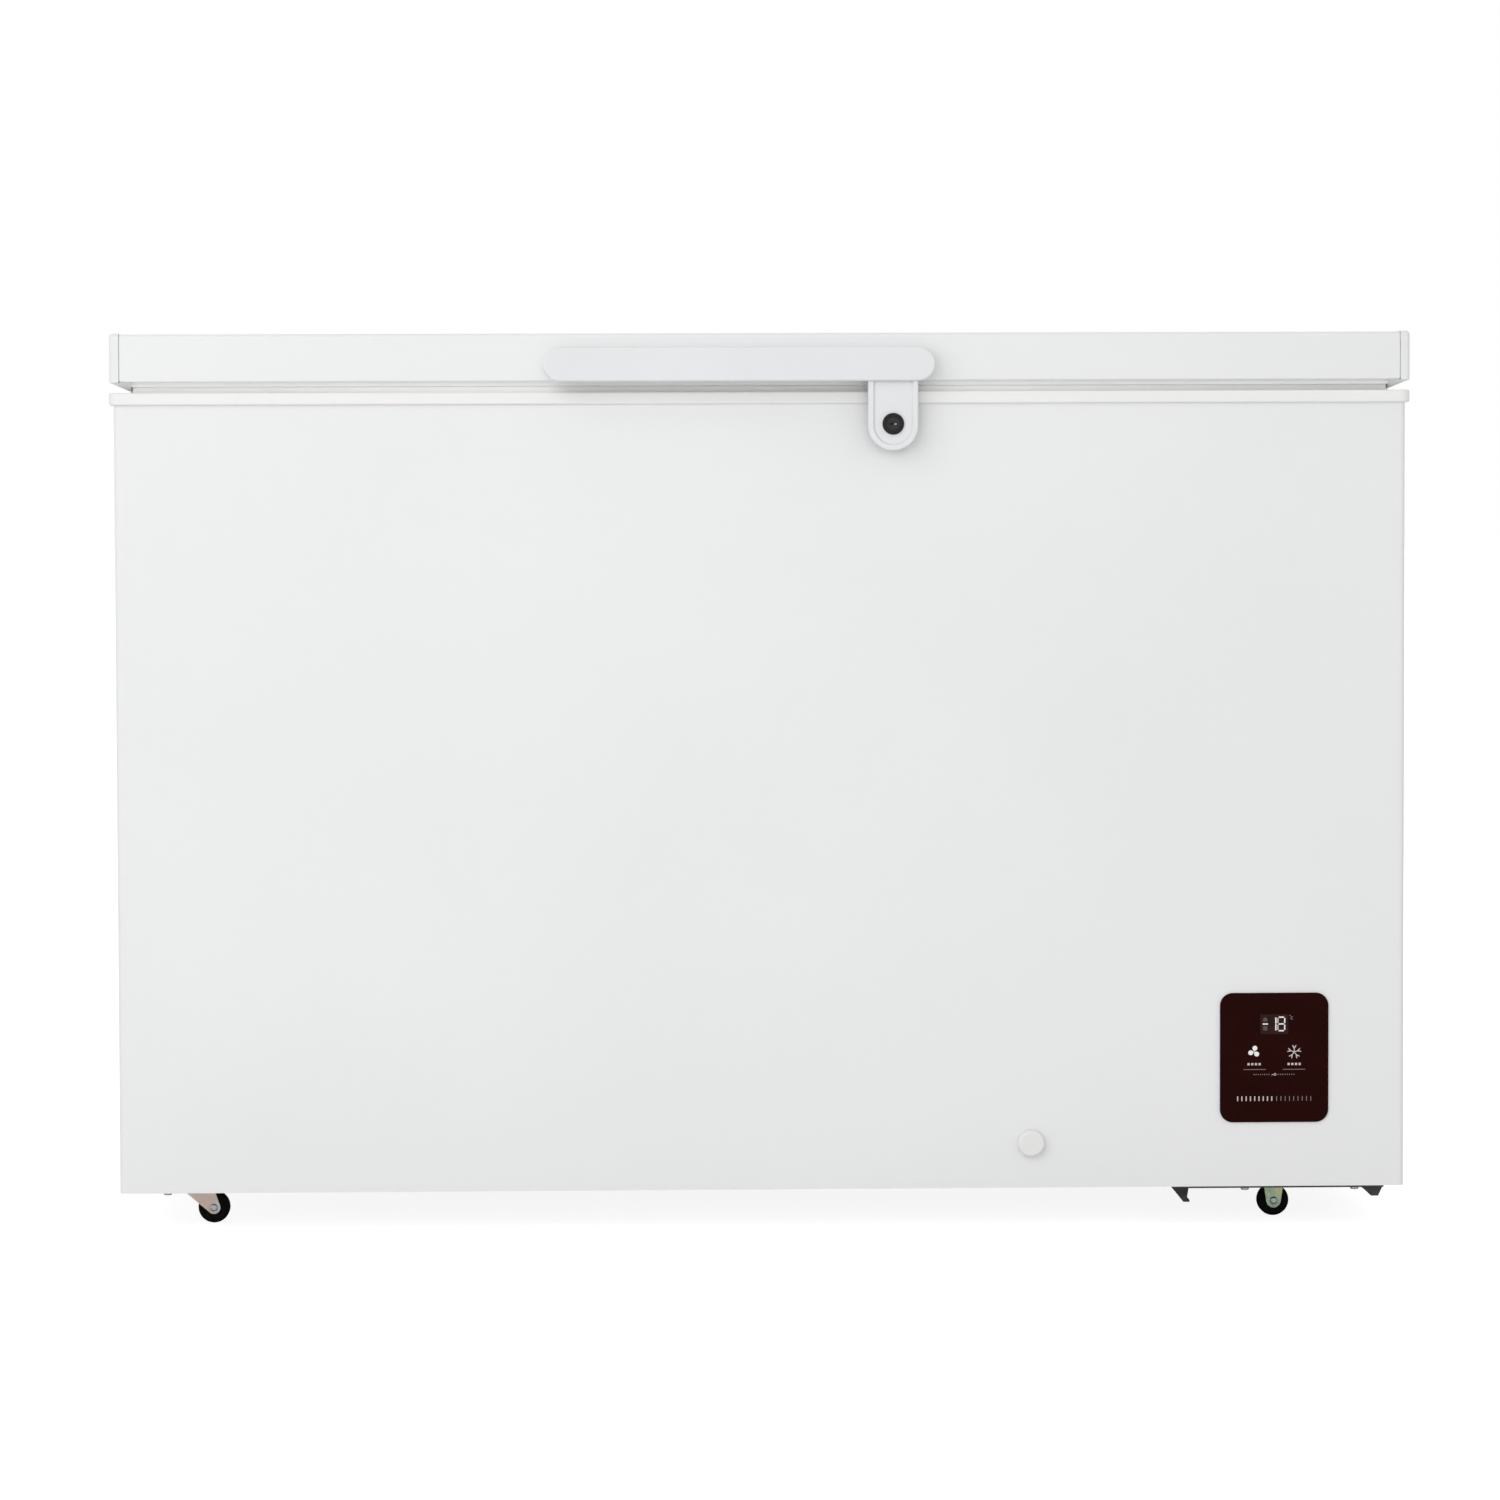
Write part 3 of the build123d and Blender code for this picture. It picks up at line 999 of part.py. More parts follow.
with BuildPart() as lid_foam:
    extrude(Plane.YZ.offset(-LID_PANEL_SIDE) * lid_outline(LID_SHEET), amount=2 * LID_PANEL_SIDE)
    block((-LID_SIDE, LID_SIDE), (LID_FRONT, LID_BACK), (LID_LOW - LID_SHEET, LINER_TOP), Mode.SUBTRACT)
    plan_block(core_x, core_y, (PAN_Z + LINER_WALL, LINER_TOP), PAN_CORNER - LINER_WALL)
    screw_bores(lid_seats, BACKWARD)
save(lid_foam.part, "lid_foam")

gasket_low = COLLAR_TOP + GASKET_FIT
foot_top = GASKET_TOP - GASKET_BASE - GASKET_WAIST
with BuildPart() as lid_gasket:
    for inset, z in ((GASKET_FIT, (GASKET_TOP - GASKET_BASE, GASKET_TOP)),
                     (GASKET_BASE, (foot_top, GASKET_TOP - GASKET_BASE)),
                     (GASKET_BASE / 2, (gasket_low, foot_top))):
        ring_x, ring_y = lid_inset(GASKET_INSET + inset)
        plan_ring(ring_x, ring_y, z, GASKET_WIDTH - 2 * inset, PAN_LIP - inset, PAN_LIP + inset)
    fillet(lid_gasket.faces().sort_by(Axis.Z)[0].edges(), GASKET_BASE / 4)
save(lid_gasket.part, "lid_gasket")

# Handle
with BuildPart() as handle:
    with BuildSketch(front_plane(LID_FRONT)):
        with Locations((HANDLE_X, HANDLE_Z)):
            SlotOverall(HANDLE_LENGTH, HANDLE_HEIGHT)
    extrude(amount=HANDLE_DEPTH)
    fillet(handle.faces().sort_by(Axis.Y)[0].edges(), HANDLE_ROUND)
    with BuildSketch(front_plane(LID_FRONT)):
        with Locations((HANDLE_X, HANDLE_Z)):
            SlotOverall(HANDLE_LENGTH - 2 * HANDLE_WALL, HANDLE_HEIGHT - 2 * HANDLE_WALL)
    extrude(amount=HANDLE_DEPTH - HANDLE_FACE, mode=Mode.SUBTRACT)
    grip_half = HANDLE_LENGTH / 2 - HANDLE_HEIGHT / 2
    block((HANDLE_X - grip_half, HANDLE_X + grip_half), (HANDLE_INSIDE, LID_FRONT),
          (HANDLE_LOW - HANDLE_WALL, HANDLE_Z), Mode.SUBTRACT)
    tab_room = TAB_RADIUS + TAB_GAP
    block((LOCK_X - tab_room, LOCK_X + tab_room), (HANDLE_INSIDE, LID_FRONT),
          (HANDLE_LOW - HANDLE_WALL, HANDLE_Z), Mode.SUBTRACT)
save(handle.part, "handle")

# Lock
with BuildPart() as lock_housing:
    extrude(front_plane(TAB_FRONT) * tab_outline(0), amount=TAB_FRONT - TAB_BACK)
    fillet(lock_housing.faces().sort_by(Axis.Y)[0].edges(), TAB_ROUND)
    extrude(front_plane(TAB_FRONT) * tab_outline(TAB_BORDER), amount=TAB_RECESS, dir=BACKWARD,
            taper=TAB_RECESS_SLANT, mode=Mode.SUBTRACT)
    extrude(front_plane(LOCK_FACE + TAB_FACE) * tab_outline(TAB_WALL), amount=LOCK_FACE - TAB_BACK, mode=Mode.SUBTRACT)
    foot_half = TAB_RADIUS - TAB_SHOULDER
    block((LOCK_X - foot_half, LOCK_X + foot_half), (TAB_BACK - TAB_WALL, LID_FRONT), (LID_LOW + TAB_LID_LAP, TAB_TOP))
    rod((LOCK_X, TAB_FRONT, LOCK_Z), (LOCK_X, TAB_BACK, LOCK_Z), BARREL_RADIUS, Mode.SUBTRACT)
    block((LOCK_X - 2 * TAB_RADIUS, KEEPER_RIGHT + KEEPER_SIDE_ROOM), (CAM_FRONT - 2 * KEEPER_SIDE_ROOM, FRONT),
          (TAB_Z - 2 * TAB_RADIUS, LID_LOW - TAB_WALL), Mode.SUBTRACT)
save(lock_housing.part, "lock_housing")

with BuildPart() as lock_barrel:
    rod((LOCK_X, LOCK_FACE, LOCK_Z), (LOCK_X, LOCK_FACE - BEZEL_RISE, LOCK_Z), BEZEL_RADIUS)
    fillet(lock_barrel.faces().sort_by(Axis.Y)[0].edges(), BEZEL_RISE / 2)
    rod((LOCK_X, LOCK_FACE, LOCK_Z), (LOCK_X, BARREL_END, LOCK_Z), BARREL_RADIUS)
    rod((LOCK_X, LOCK_FACE - BEZEL_RISE, LOCK_Z), (LOCK_X, BARREL_END, LOCK_Z), CYLINDER_RADIUS + CYLINDER_FIT,
        Mode.SUBTRACT)
save(lock_barrel.part, "lock_barrel")

with BuildPart() as lock_plug:
    plug_front = LOCK_FACE - BEZEL_RISE + CYLINDER_SINK
    rod((LOCK_X, plug_front, LOCK_Z), (LOCK_X, CAM_FRONT, LOCK_Z), CYLINDER_RADIUS)
    rod((LOCK_X, CAM_FRONT, LOCK_Z), (LOCK_X, CAM_BACK + TAB_GAP, LOCK_Z), TAIL_RADIUS)
    block((LOCK_X - KEY_SLOT_WIDTH / 2, LOCK_X + KEY_SLOT_WIDTH / 2), (plug_front, plug_front + KEY_SLOT_DEPTH),
          (LOCK_Z - KEY_SLOT_HEIGHT / 2, LOCK_Z + KEY_SLOT_HEIGHT / 2), Mode.SUBTRACT)
save(lock_plug.part, "lock_plug")

with BuildPart() as lock_cam:
    cam_outline = hull_sketch([(LOCK_X, LOCK_Z, CAM_HUB), (LOCK_X, LOCK_Z - CAM_REACH, CAM_TIP)])
    extrude(front_plane(CAM_FRONT) * cam_outline, amount=-CAM_THICKNESS)
    rod((LOCK_X, CAM_FRONT, LOCK_Z), (LOCK_X, CAM_BACK, LOCK_Z), TAIL_RADIUS, Mode.SUBTRACT)
save(lock_cam.part, "lock_cam")

with BuildPart() as lock_keeper:
    keeper_top = KEEPER_LIP_LOW + KEEPER_SHEET
    block((KEEPER_LEFT, KEEPER_RIGHT), (FRONT - KEEPER_SHEET, FRONT), (keeper_top - KEEPER_HEIGHT, keeper_top))
    block((KEEPER_LEFT, KEEPER_RIGHT), (CAM_FRONT - KEEPER_GAP, FRONT), (KEEPER_LIP_LOW, keeper_top))
save(lock_keeper.part, "lock_keeper")

# Hinges
with BuildPart() as hinge_channels:
    for x in HINGE_CENTRES:
        block((x - HINGE_PLATE_WIDTH / 2, x + HINGE_PLATE_WIDTH / 2), (BACK, BACK + HINGE_SHEET),
              (HINGE_PLATE_LOW, HINGE_PLATE_TOP))
        for inner in (x - CHEEK_OUTER, x + CHEEK_INNER):
            near = PIVOT_Y - CHEEK_ROUND
            far = BACK + HINGE_DEPTH
            cheek = [(BACK, HINGE_PLATE_LOW), (BACK, HINGE_PLATE_TOP), (near, HINGE_PLATE_TOP + HINGE_SHEET),
                     (near, PIVOT_Z), (PIVOT_Y + CHEEK_ROUND, PIVOT_Z), (far, PIVOT_Z - HINGE_INNER),
                     (far, HINGE_PLATE_LOW + HINGE_SHEET), (far - CHEEK_ROUND, HINGE_PLATE_LOW)]
            polygon(Plane.YZ.offset(inner), cheek, HINGE_SHEET)
            rod((inner, PIVOT_Y, PIVOT_Z), (inner + HINGE_SHEET, PIVOT_Y, PIVOT_Z), CHEEK_ROUND)
            for y, z, radius in ((PIVOT_Y, PIVOT_Z, PIVOT_RADIUS), (CRANK_Y, ANCHOR_Z, CRANK_RADIUS)):
                rod((inner, y, z), (inner + HINGE_SHEET, y, z), radius, Mode.SUBTRACT)
    screw_bores(cabinet_seats, BACKWARD)
save(hinge_channels.part, "hinge_channels")

with BuildPart() as hinge_pins:
    for x in HINGE_CENTRES:
        for y, z, radius in ((PIVOT_Y, PIVOT_Z, PIVOT_RADIUS), (CRANK_Y, ANCHOR_Z, CRANK_RADIUS)):
            rod((x - CHEEK_OUTER, y, z), (x + CHEEK_OUTER, y, z), radius)
            head = radius * PIVOT_HEAD / PIVOT_RADIUS
            rod((x - CHEEK_OUTER - HINGE_SHEET, y, z), (x - CHEEK_OUTER, y, z), head)
            rod((x + CHEEK_OUTER, y, z), (x + CHEEK_OUTER + HINGE_SHEET, y, z), head)
save(hinge_pins.part, "hinge_pins")

with BuildPart() as hinge_arms:
    arm_outline = hull_sketch([(PIVOT_Y, PIVOT_Z, ARM_BOSS), (CRANK_Y, CRANK_Z, ARM_LUG),
                               (LID_BACK + ARM_SHEET, arm_low + ARM_SHEET, ARM_SHEET),
                               (LID_BACK + ARM_SHEET, (arm_low + arm_top) / 2, ARM_SHEET)])
    for x in HINGE_CENTRES:
        block((x - ARM_WIDTH / 2, x + ARM_WIDTH / 2), (LID_BACK, arm_back), (arm_low, arm_top))
        for web in (x - ARM_WIDTH / 2, x + ARM_WIDTH / 2 - ARM_SHEET):
            extrude(Plane.YZ.offset(web) * arm_outline, amount=ARM_SHEET)
            rod((web, PIVOT_Y, PIVOT_Z), (web + ARM_SHEET, PIVOT_Y, PIVOT_Z), PIVOT_RADIUS + PIVOT_FIT, Mode.SUBTRACT)
        rod((x - ARM_WIDTH / 2, CRANK_Y, CRANK_Z), (x + ARM_WIDTH / 2, CRANK_Y, CRANK_Z), CRANK_RADIUS)
    screw_bores(lid_seats, BACKWARD)
save(hinge_arms.part, "hinge_arms")


def spring_eye(x, pin_z, upward):
    """Plug with an eye that holds one end of a hinge spring on its pin."""
    neck_end = pin_z - upward * EYE_NECK
    plug_end = neck_end - upward * EYE_PLUG
    with BuildPart() as eye:
        outline = hull_sketch([(CRANK_Y, pin_z, EYE_RADIUS),
                               (CRANK_Y, neck_end, EYE_THICKNESS / 2)])
        extrude(Plane.YZ.offset(x - EYE_THICKNESS / 2) * outline, amount=EYE_THICKNESS)
        rod((x, CRANK_Y, neck_end), (x, CRANK_Y, plug_end), SPRING_RADIUS - SPRING_WIRE - EYE_FIT)
        rod((x - EYE_THICKNESS, CRANK_Y, pin_z), (x + EYE_THICKNESS, CRANK_Y, pin_z), CRANK_RADIUS + EYE_FIT,
            Mode.SUBTRACT)
    return eye.part


def spring_coil(x):
    """Coil of a hinge spring between its two eyes."""
    low = ANCHOR_Z + EYE_NECK + 2 * SPRING_WIRE
    high = CRANK_Z - EYE_NECK - 2 * SPRING_WIRE
    turns = round((high - low) / SPRING_PITCH)
    with BuildPart() as coil:
        with BuildLine() as path:
            Helix((high - low) / turns, high - low, SPRING_RADIUS, center=(x, CRANK_Y, low))
        with BuildSketch(Plane(origin=path.line @ 0, z_dir=path.line % 0)) as wire:
            Circle(SPRING_WIRE)
        sweep(sections=wire.sketch, path=path.line, is_frenet=True)
    return coil.part


spring_pieces = []
for hinge_x in HINGE_CENTRES:
    spring_pieces += [spring_coil(hinge_x), spring_eye(hinge_x, CRANK_Z, 1), spring_eye(hinge_x, ANCHOR_Z, -1)]
save(group(spring_pieces), "hinge_springs")

# Screws
save(group([screw(seat, BACKWARD) for seat in cabinet_seats]), "cabinet_screws")
save(group([screw(seat, BACKWARD) for seat in lid_seats]), "lid_screws")
save(group([screw(seat, DOWNWARD) for seat in base_seats]), "base_screws")

# Casters
with BuildPart() as swivel_plates:
    for row_y in CASTER_ROWS.values():
        plan_block((SWIVEL_X - SWIVEL_PLATE_X / 2, SWIVEL_X + SWIVEL_PLATE_X / 2),
                   (row_y - SWIVEL_PLATE_Y / 2, row_y + SWIVEL_PLATE_Y / 2), (SWIVEL_PLATE_LOW, BASE_LOW),
                   CASTER_PLATE_CORNER)
        rod((SWIVEL_X, row_y, SWIVEL_FORK_TOP + RACE_GAP), (SWIVEL_X, row_y, SWIVEL_PLATE_LOW), RACE_RADIUS)
        rod((SWIVEL_X, row_y, SWIVEL_FORK_TOP), (SWIVEL_X, row_y, BASE_LOW), KINGPIN_RADIUS, Mode.SUBTRACT)
    screw_bores(base_seats, DOWNWARD)
save(swivel_plates.part, "swivel_plates")

with BuildPart() as swivel_kingpins:
    for row_y in CASTER_ROWS.values():
        pin_low = SWIVEL_FORK_LOW - RACE_GAP
        rod((SWIVEL_X, row_y, pin_low), (SWIVEL_X, row_y, BASE_LOW), KINGPIN_RADIUS)
        rod((SWIVEL_X, row_y, pin_low - KINGPIN_HEAD_HEIGHT), (SWIVEL_X, row_y, pin_low), KINGPIN_HEAD)
save(swivel_kingpins.part, "swivel_kingpins")


def axle(x, row_y):
    """Domed bolt with its nut, across one fork."""
    with BuildPart() as bolt:
        rod((x, row_y - FORK_OUTER, AXLE_Z), (x, row_y + FORK_OUTER, AXLE_Z), AXLE_RADIUS)
        rod((x, row_y - FORK_OUTER - AXLE_HEAD_HEIGHT, AXLE_Z), (x, row_y - FORK_OUTER, AXLE_Z), AXLE_HEAD)
        fillet(bolt.faces().sort_by(Axis.Y)[0].edges(), AXLE_HEAD_HEIGHT * 0.8)
        with BuildSketch(front_plane(row_y + FORK_OUTER)) as nut:
            with Locations((x, AXLE_Z)):
                RegularPolygon(AXLE_HEAD * 1.2, 6)
        extrude(nut.sketch, amount=-AXLE_HEAD_HEIGHT)
    return bolt.part


def wheel(x, row_y):
    """Solid wheel with a sunk web on each side."""
    near, far = row_y - WHEEL_WIDTH / 2, row_y + WHEEL_WIDTH / 2
    with BuildPart() as tyre:
        rod((x, near, AXLE_Z), (x, far, AXLE_Z), WHEEL_RADIUS)
        fillet(tyre.edges().filter_by(GeomType.CIRCLE), WHEEL_ROUND)
        for side_y, inward in ((near, -HUB_SINK), (far, HUB_SINK)):
            with BuildSketch(front_plane(side_y)) as web:
                with Locations((x, AXLE_Z)):
                    Circle(HUB_OUTER)
                    Circle(HUB_INNER, mode=Mode.SUBTRACT)
            extrude(web.sketch, amount=inward, mode=Mode.SUBTRACT)
        rod((x, near, AXLE_Z), (x, far, AXLE_Z), AXLE_RADIUS + WHEEL_BORE_FIT, Mode.SUBTRACT)
    return tyre.part


def swivel_fork(row_y):
    """Trailing fork that turns under its kingpin."""
    axle_x = SWIVEL_X + SWIVEL_TRAIL
    shoulder = SWIVEL_FORK_TOP - FORK_SHEET
    leg = hull_sketch([(axle_x, AXLE_Z, SWIVEL_TOE), (SWIVEL_X - SWIVEL_REACH + FORK_SHEET, shoulder, FORK_SHEET),
                       (SWIVEL_X + SWIVEL_REACH - FORK_SHEET, shoulder, FORK_SHEET)])
    with BuildPart() as fork:
        plan_block((SWIVEL_X - SWIVEL_REACH, SWIVEL_X + SWIVEL_REACH), (row_y - FORK_OUTER, row_y + FORK_OUTER),
                   (SWIVEL_FORK_LOW, SWIVEL_FORK_TOP), FORK_SHEET)
        for leg_y in (row_y - FORK_INNER, row_y + FORK_OUTER):
            extrude(front_plane(leg_y) * leg, amount=FORK_SHEET)
        rod((SWIVEL_X, row_y, SWIVEL_FORK_LOW), (SWIVEL_X, row_y, SWIVEL_FORK_TOP), KINGPIN_RADIUS + KINGPIN_FIT,
            Mode.SUBTRACT)
        rod((axle_x, row_y - FORK_OUTER, AXLE_Z), (axle_x, row_y + FORK_OUTER, AXLE_Z), AXLE_RADIUS, Mode.SUBTRACT)
    return fork.part


def rigid_fork(row_y):
    """Fixed fork pressed from one piece with its plate."""
    shoulder = RIGID_PLATE_LOW + FORK_SHEET / 2
    half = RIGID_TOP_HALF - FORK_SHEET / 2
    leg = hull_sketch([(RIGID_X, AXLE_Z, RIGID_TOE), (RIGID_X - half, shoulder, FORK_SHEET / 2),
                       (RIGID_X + half, shoulder, FORK_SHEET / 2)])
    with BuildPart() as fork:
        plan_block((RIGID_X - SWIVEL_PLATE_X / 2, RIGID_X + SWIVEL_PLATE_X / 2),
                   (row_y - SWIVEL_PLATE_Y / 2, row_y + SWIVEL_PLATE_Y / 2), (RIGID_PLATE_LOW, PLATE_LOW),
                   CASTER_PLATE_CORNER)
        for leg_y in (row_y - FORK_INNER, row_y + FORK_OUTER):
            extrude(front_plane(leg_y) * leg, amount=FORK_SHEET)
        rod((RIGID_X, row_y - FORK_OUTER, AXLE_Z), (RIGID_X, row_y + FORK_OUTER, AXLE_Z), AXLE_RADIUS, Mode.SUBTRACT)
        screw_bores(base_seats, DOWNWARD)
    return fork.part


for row_name, row_y in CASTER_ROWS.items():
    swivel_axle_x = SWIVEL_X + SWIVEL_TRAIL
    save(swivel_fork(row_y), f"swivel_fork_{row_name}")
    save(axle(swivel_axle_x, row_y), f"swivel_axle_{row_name}")
    save(wheel(swivel_axle_x, row_y), f"wheel_{row_name}_left")
    save(wheel(RIGID_X, row_y), f"wheel_{row_name}_right")
save(group([rigid_fork(row_y) for row_y in CASTER_ROWS.values()]), "rigid_forks")
save(group([axle(RIGID_X, row_y) for row_y in CASTER_ROWS.values()]), "rigid_axles")

# Basket
bar_ends = (LEDGE_FRONT + LEDGE_WIDTH / 4, LEDGE_BACK - LEDGE_WIDTH / 4)
bars = []
for x in (BASKET_LEFT, BASKET_RIGHT):
    bars.append(((x, bar_ends[0], BASKET_TOP), (x, bar_ends[1], BASKET_TOP)))
    bars.append(((x, BASKET_FRONT - BAR_RADIUS, BASKET_FLOOR), (x, BASKET_BACK + BAR_RADIUS, BASKET_FLOOR)))
for y in (BASKET_FRONT, BASKET_BACK):
    for z in (BASKET_TOP, BASKET_FLOOR):
        bars.append(((BASKET_LEFT + BAR_RADIUS, y, z), (BASKET_RIGHT - BAR_RADIUS, y, z)))
with BuildPart() as basket_frame:
    for start, end in bars:
        rod(start, end, BAR_RADIUS)
save(basket_frame.part, "basket_frame")

across_pitch = BASKET_WIDTH / (WIRES_ACROSS + 1)
along_pitch = (BASKET_BACK - BASKET_FRONT) / (WIRES_ALONG + 1)
upright = (BASKET_FLOOR + BAR_RADIUS, BASKET_TOP - BAR_RADIUS)
floor_z = BASKET_FLOOR - BAR_RADIUS - WIRE_RADIUS
rest_z = floor_z + 2 * WIRE_RADIUS
wires = []
for place in range(1, WIRES_ACROSS + 1):
    x = BASKET_LEFT + place * across_pitch
    wires += [((x, y, upright[0]), (x, y, upright[1])) for y in (BASKET_FRONT, BASKET_BACK)]
    wires.append(((x, BASKET_FRONT + BAR_RADIUS, rest_z), (x, BASKET_BACK - BAR_RADIUS, rest_z)))
for place in range(1, WIRES_ALONG + 1):
    y = BASKET_FRONT + place * along_pitch
    wires += [((x, y, upright[0]), (x, y, upright[1])) for x in (BASKET_LEFT, BASKET_RIGHT)]
    wires.append(((BASKET_LEFT, y, floor_z), (BASKET_RIGHT, y, floor_z)))
with BuildPart() as basket_wires:
    for start, end in wires:
        rod(start, end, WIRE_RADIUS)
save(basket_wires.part, "basket_wires")
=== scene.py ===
"""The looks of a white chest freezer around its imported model: finishes, soft pieces, light and camera."""

import json
import math

import bmesh
import bpy
from mathutils import Matrix, Vector


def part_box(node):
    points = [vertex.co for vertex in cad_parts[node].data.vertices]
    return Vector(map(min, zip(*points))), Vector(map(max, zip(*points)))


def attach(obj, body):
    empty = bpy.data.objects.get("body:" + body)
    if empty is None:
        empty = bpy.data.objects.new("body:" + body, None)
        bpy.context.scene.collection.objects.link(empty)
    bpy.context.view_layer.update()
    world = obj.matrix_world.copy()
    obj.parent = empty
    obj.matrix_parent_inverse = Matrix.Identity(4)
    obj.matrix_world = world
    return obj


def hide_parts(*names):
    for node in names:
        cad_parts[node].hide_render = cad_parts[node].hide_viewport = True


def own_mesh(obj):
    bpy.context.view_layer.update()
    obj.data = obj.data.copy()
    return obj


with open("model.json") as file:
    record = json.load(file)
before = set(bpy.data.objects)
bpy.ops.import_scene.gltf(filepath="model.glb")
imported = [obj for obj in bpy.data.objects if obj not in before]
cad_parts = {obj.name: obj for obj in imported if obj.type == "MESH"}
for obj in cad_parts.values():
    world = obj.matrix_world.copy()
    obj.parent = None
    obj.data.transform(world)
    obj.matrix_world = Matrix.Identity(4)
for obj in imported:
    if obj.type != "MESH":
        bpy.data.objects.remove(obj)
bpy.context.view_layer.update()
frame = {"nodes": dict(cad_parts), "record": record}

MM = 0.001

# Camera: the picture is square, and the lens is given as pixels of that picture
IMAGE_SIDE = 1500
SENSOR_WIDTH = 36.0
FOCAL_PIXELS = 5857.6
CAMERA_PLACE = (-0.1811, -6.0, 0.7539)
CAMERA_YAW = 1.7132
CAMERA_PITCH = 2.9144
CAMERA_ROLL = -0.1763

# Light levels, where 1 shows a surface about as its colour is written
AMBIENT = 0.81
ZENITH_AMBIENT = 0.60

# Floor: a disc in metres, its colour, and how strongly it glows for the camera
FLOOR_RADIUS = 40.0
FLOOR_SIDES = 64
FLOOR_GLOW_SHARE = 0.6
FLOOR_GLOW = 1.5
FLOOR_COLOUR = (0.82, 0.82, 0.82, 1.0)

# Softboxes: name, then place, target and side in metres, and power in watts
SOFTBOXES = (("key", (-1.9, -3.5, 2.0), (-0.1, -0.35, 0.6), 3.2, 38.0),
             ("low", (-0.3, -4.2, 1.0), (0.0, -0.35, 0.6), 2.6, 23.0),
             ("back", (1.2, 4.2, 1.9), (0.0, 0.35, 0.5), 3.2, 34.0))

# Values between which a noise texture mostly stays
NOISE_LOW = 0.3
NOISE_HIGH = 0.7

# Marks on the touch panel, in millimetres from its middle
MARK_THICKNESS = 0.12
WELD_DISTANCE = 0.001
WINDOW = ((-13.6, 22.9), (13.5, 42.1))
WINDOW_CORNER = 0.8
DIGIT_ENDS = (3.5, 10.1)
DIGIT_LOW = 26.2
DIGIT_MIDDLE = 32.8
DIGIT_HIGH = 39.4
DIGIT_STROKE = 1.25
DIGIT_GAP = 0.75
ONE_PLACE = 1.5
ONE_HALF_GAP = 0.3125
MINUS_ENDS = (-11.3, -6.2)
GHOST_BLOCK = ((-11.0, 26.4), (-6.7, 30.5))
GHOST_CORNER = 0.4
GHOST_HOOD = ((-10.8, 35.2), (-6.8, 35.2), (-6.8, 37.9), (-8.8, 39.4), (-10.8, 37.9))
DEGREE_PLACE = (15.3, 40.9)
DEGREE_RADIUS = 0.55
DEGREE_CORNERS = 12
UNIT_PLACE = (17.3, 38.6)
UNIT_RADIUS = 1.5
UNIT_STROKE = 0.5
UNIT_TURNS = (50, 310)
FAN_PLACE = (-19.65, 5.9)
FAN_REACH = 3.45
FAN_LOBE = 2.4
FAN_TIP = 0.24
FAN_TURNS = (77, 197, 317)
SNOW_PLACE = (19.45, 5.5)
SNOW_FORK = 3.1
SNOW_TIP = 6.5
SNOW_SPREAD = 1.7
SNOW_STROKE = 0.85
SNOW_ARMS = 5
RULE_ENDS = ((-30.0, -8.2), (8.2, 30.1))
RULE_HEIGHT = -11.5
RULE_STROKE = 0.5
DOT_ENDS = ((-19.8, -5.0), (4.0, 19.2))
DOT_COUNT = 8
DOT_LOW = -16.95
DOT_SIZE = (0.7, 1.1)
KEY_RING_PLACE = (0.8, -16.3)
KEY_RING = 1.25
KEY_STROKE = 0.55
KEY_TIP = (-2.7, -17.0)
STEP_ENDS = ((-25.0, -14.2), (14.0, 24.8))
STEP_COUNT = 4
STEP_LOW = -7.4
STEP_SIZE = (2.2, 2.2)
SCALE_ENDS = ((-35.6, -2.4), (2.4, 35.6))
SCALE_COUNT = 9
SCALE_LOW = -42.2
SCALE_SIZES = ((1.1, 4.6), (0.6, 4.6))

# Lid gasket, in millimetres inwards from its outer side and up from its low side: half of the ring's section,
# and the section of the bulb along the front
GASKET_WIDTH = 19.4
GASKET_CORNER = 4.0
GASKET_SIDE = ((0.0, 9.2), (0.0, 6.7), (2.0, 6.1), (3.2, 5.1), (2.6, 4.1), (1.2, 3.2), (0.7, 2.2),
               (1.0, 1.0))
GASKET_FIN = ((-3.4, 0.66), (-4.0, 0.38), (-3.4, 0.12))
GASKET_SOLE = ((2.0, 0.05), (6.0, 0.0), (8.2, 0.3))
GASKET_BULB = ((-4.2, 5.2), (-11.6, 5.2), (-12.7, 4.7), (-13.3, 3.7), (-13.7, 2.6), (-14.4, 1.6),
               (-15.6, 0.8), (-17.2, 0.2), (-17.5, -0.2), (-4.2, -0.2))

# Spring flap in the keyway, in millimetres from the middle of the lock's face
FLAP_ENDS = (0.8, 3.4)
FLAP_HEIGHTS = (-0.75, 0.3)
FLAP_SINKS = (0.25, 0.45)
FLAP_SHEET = 0.5
FLAP_BEVEL = 0.12


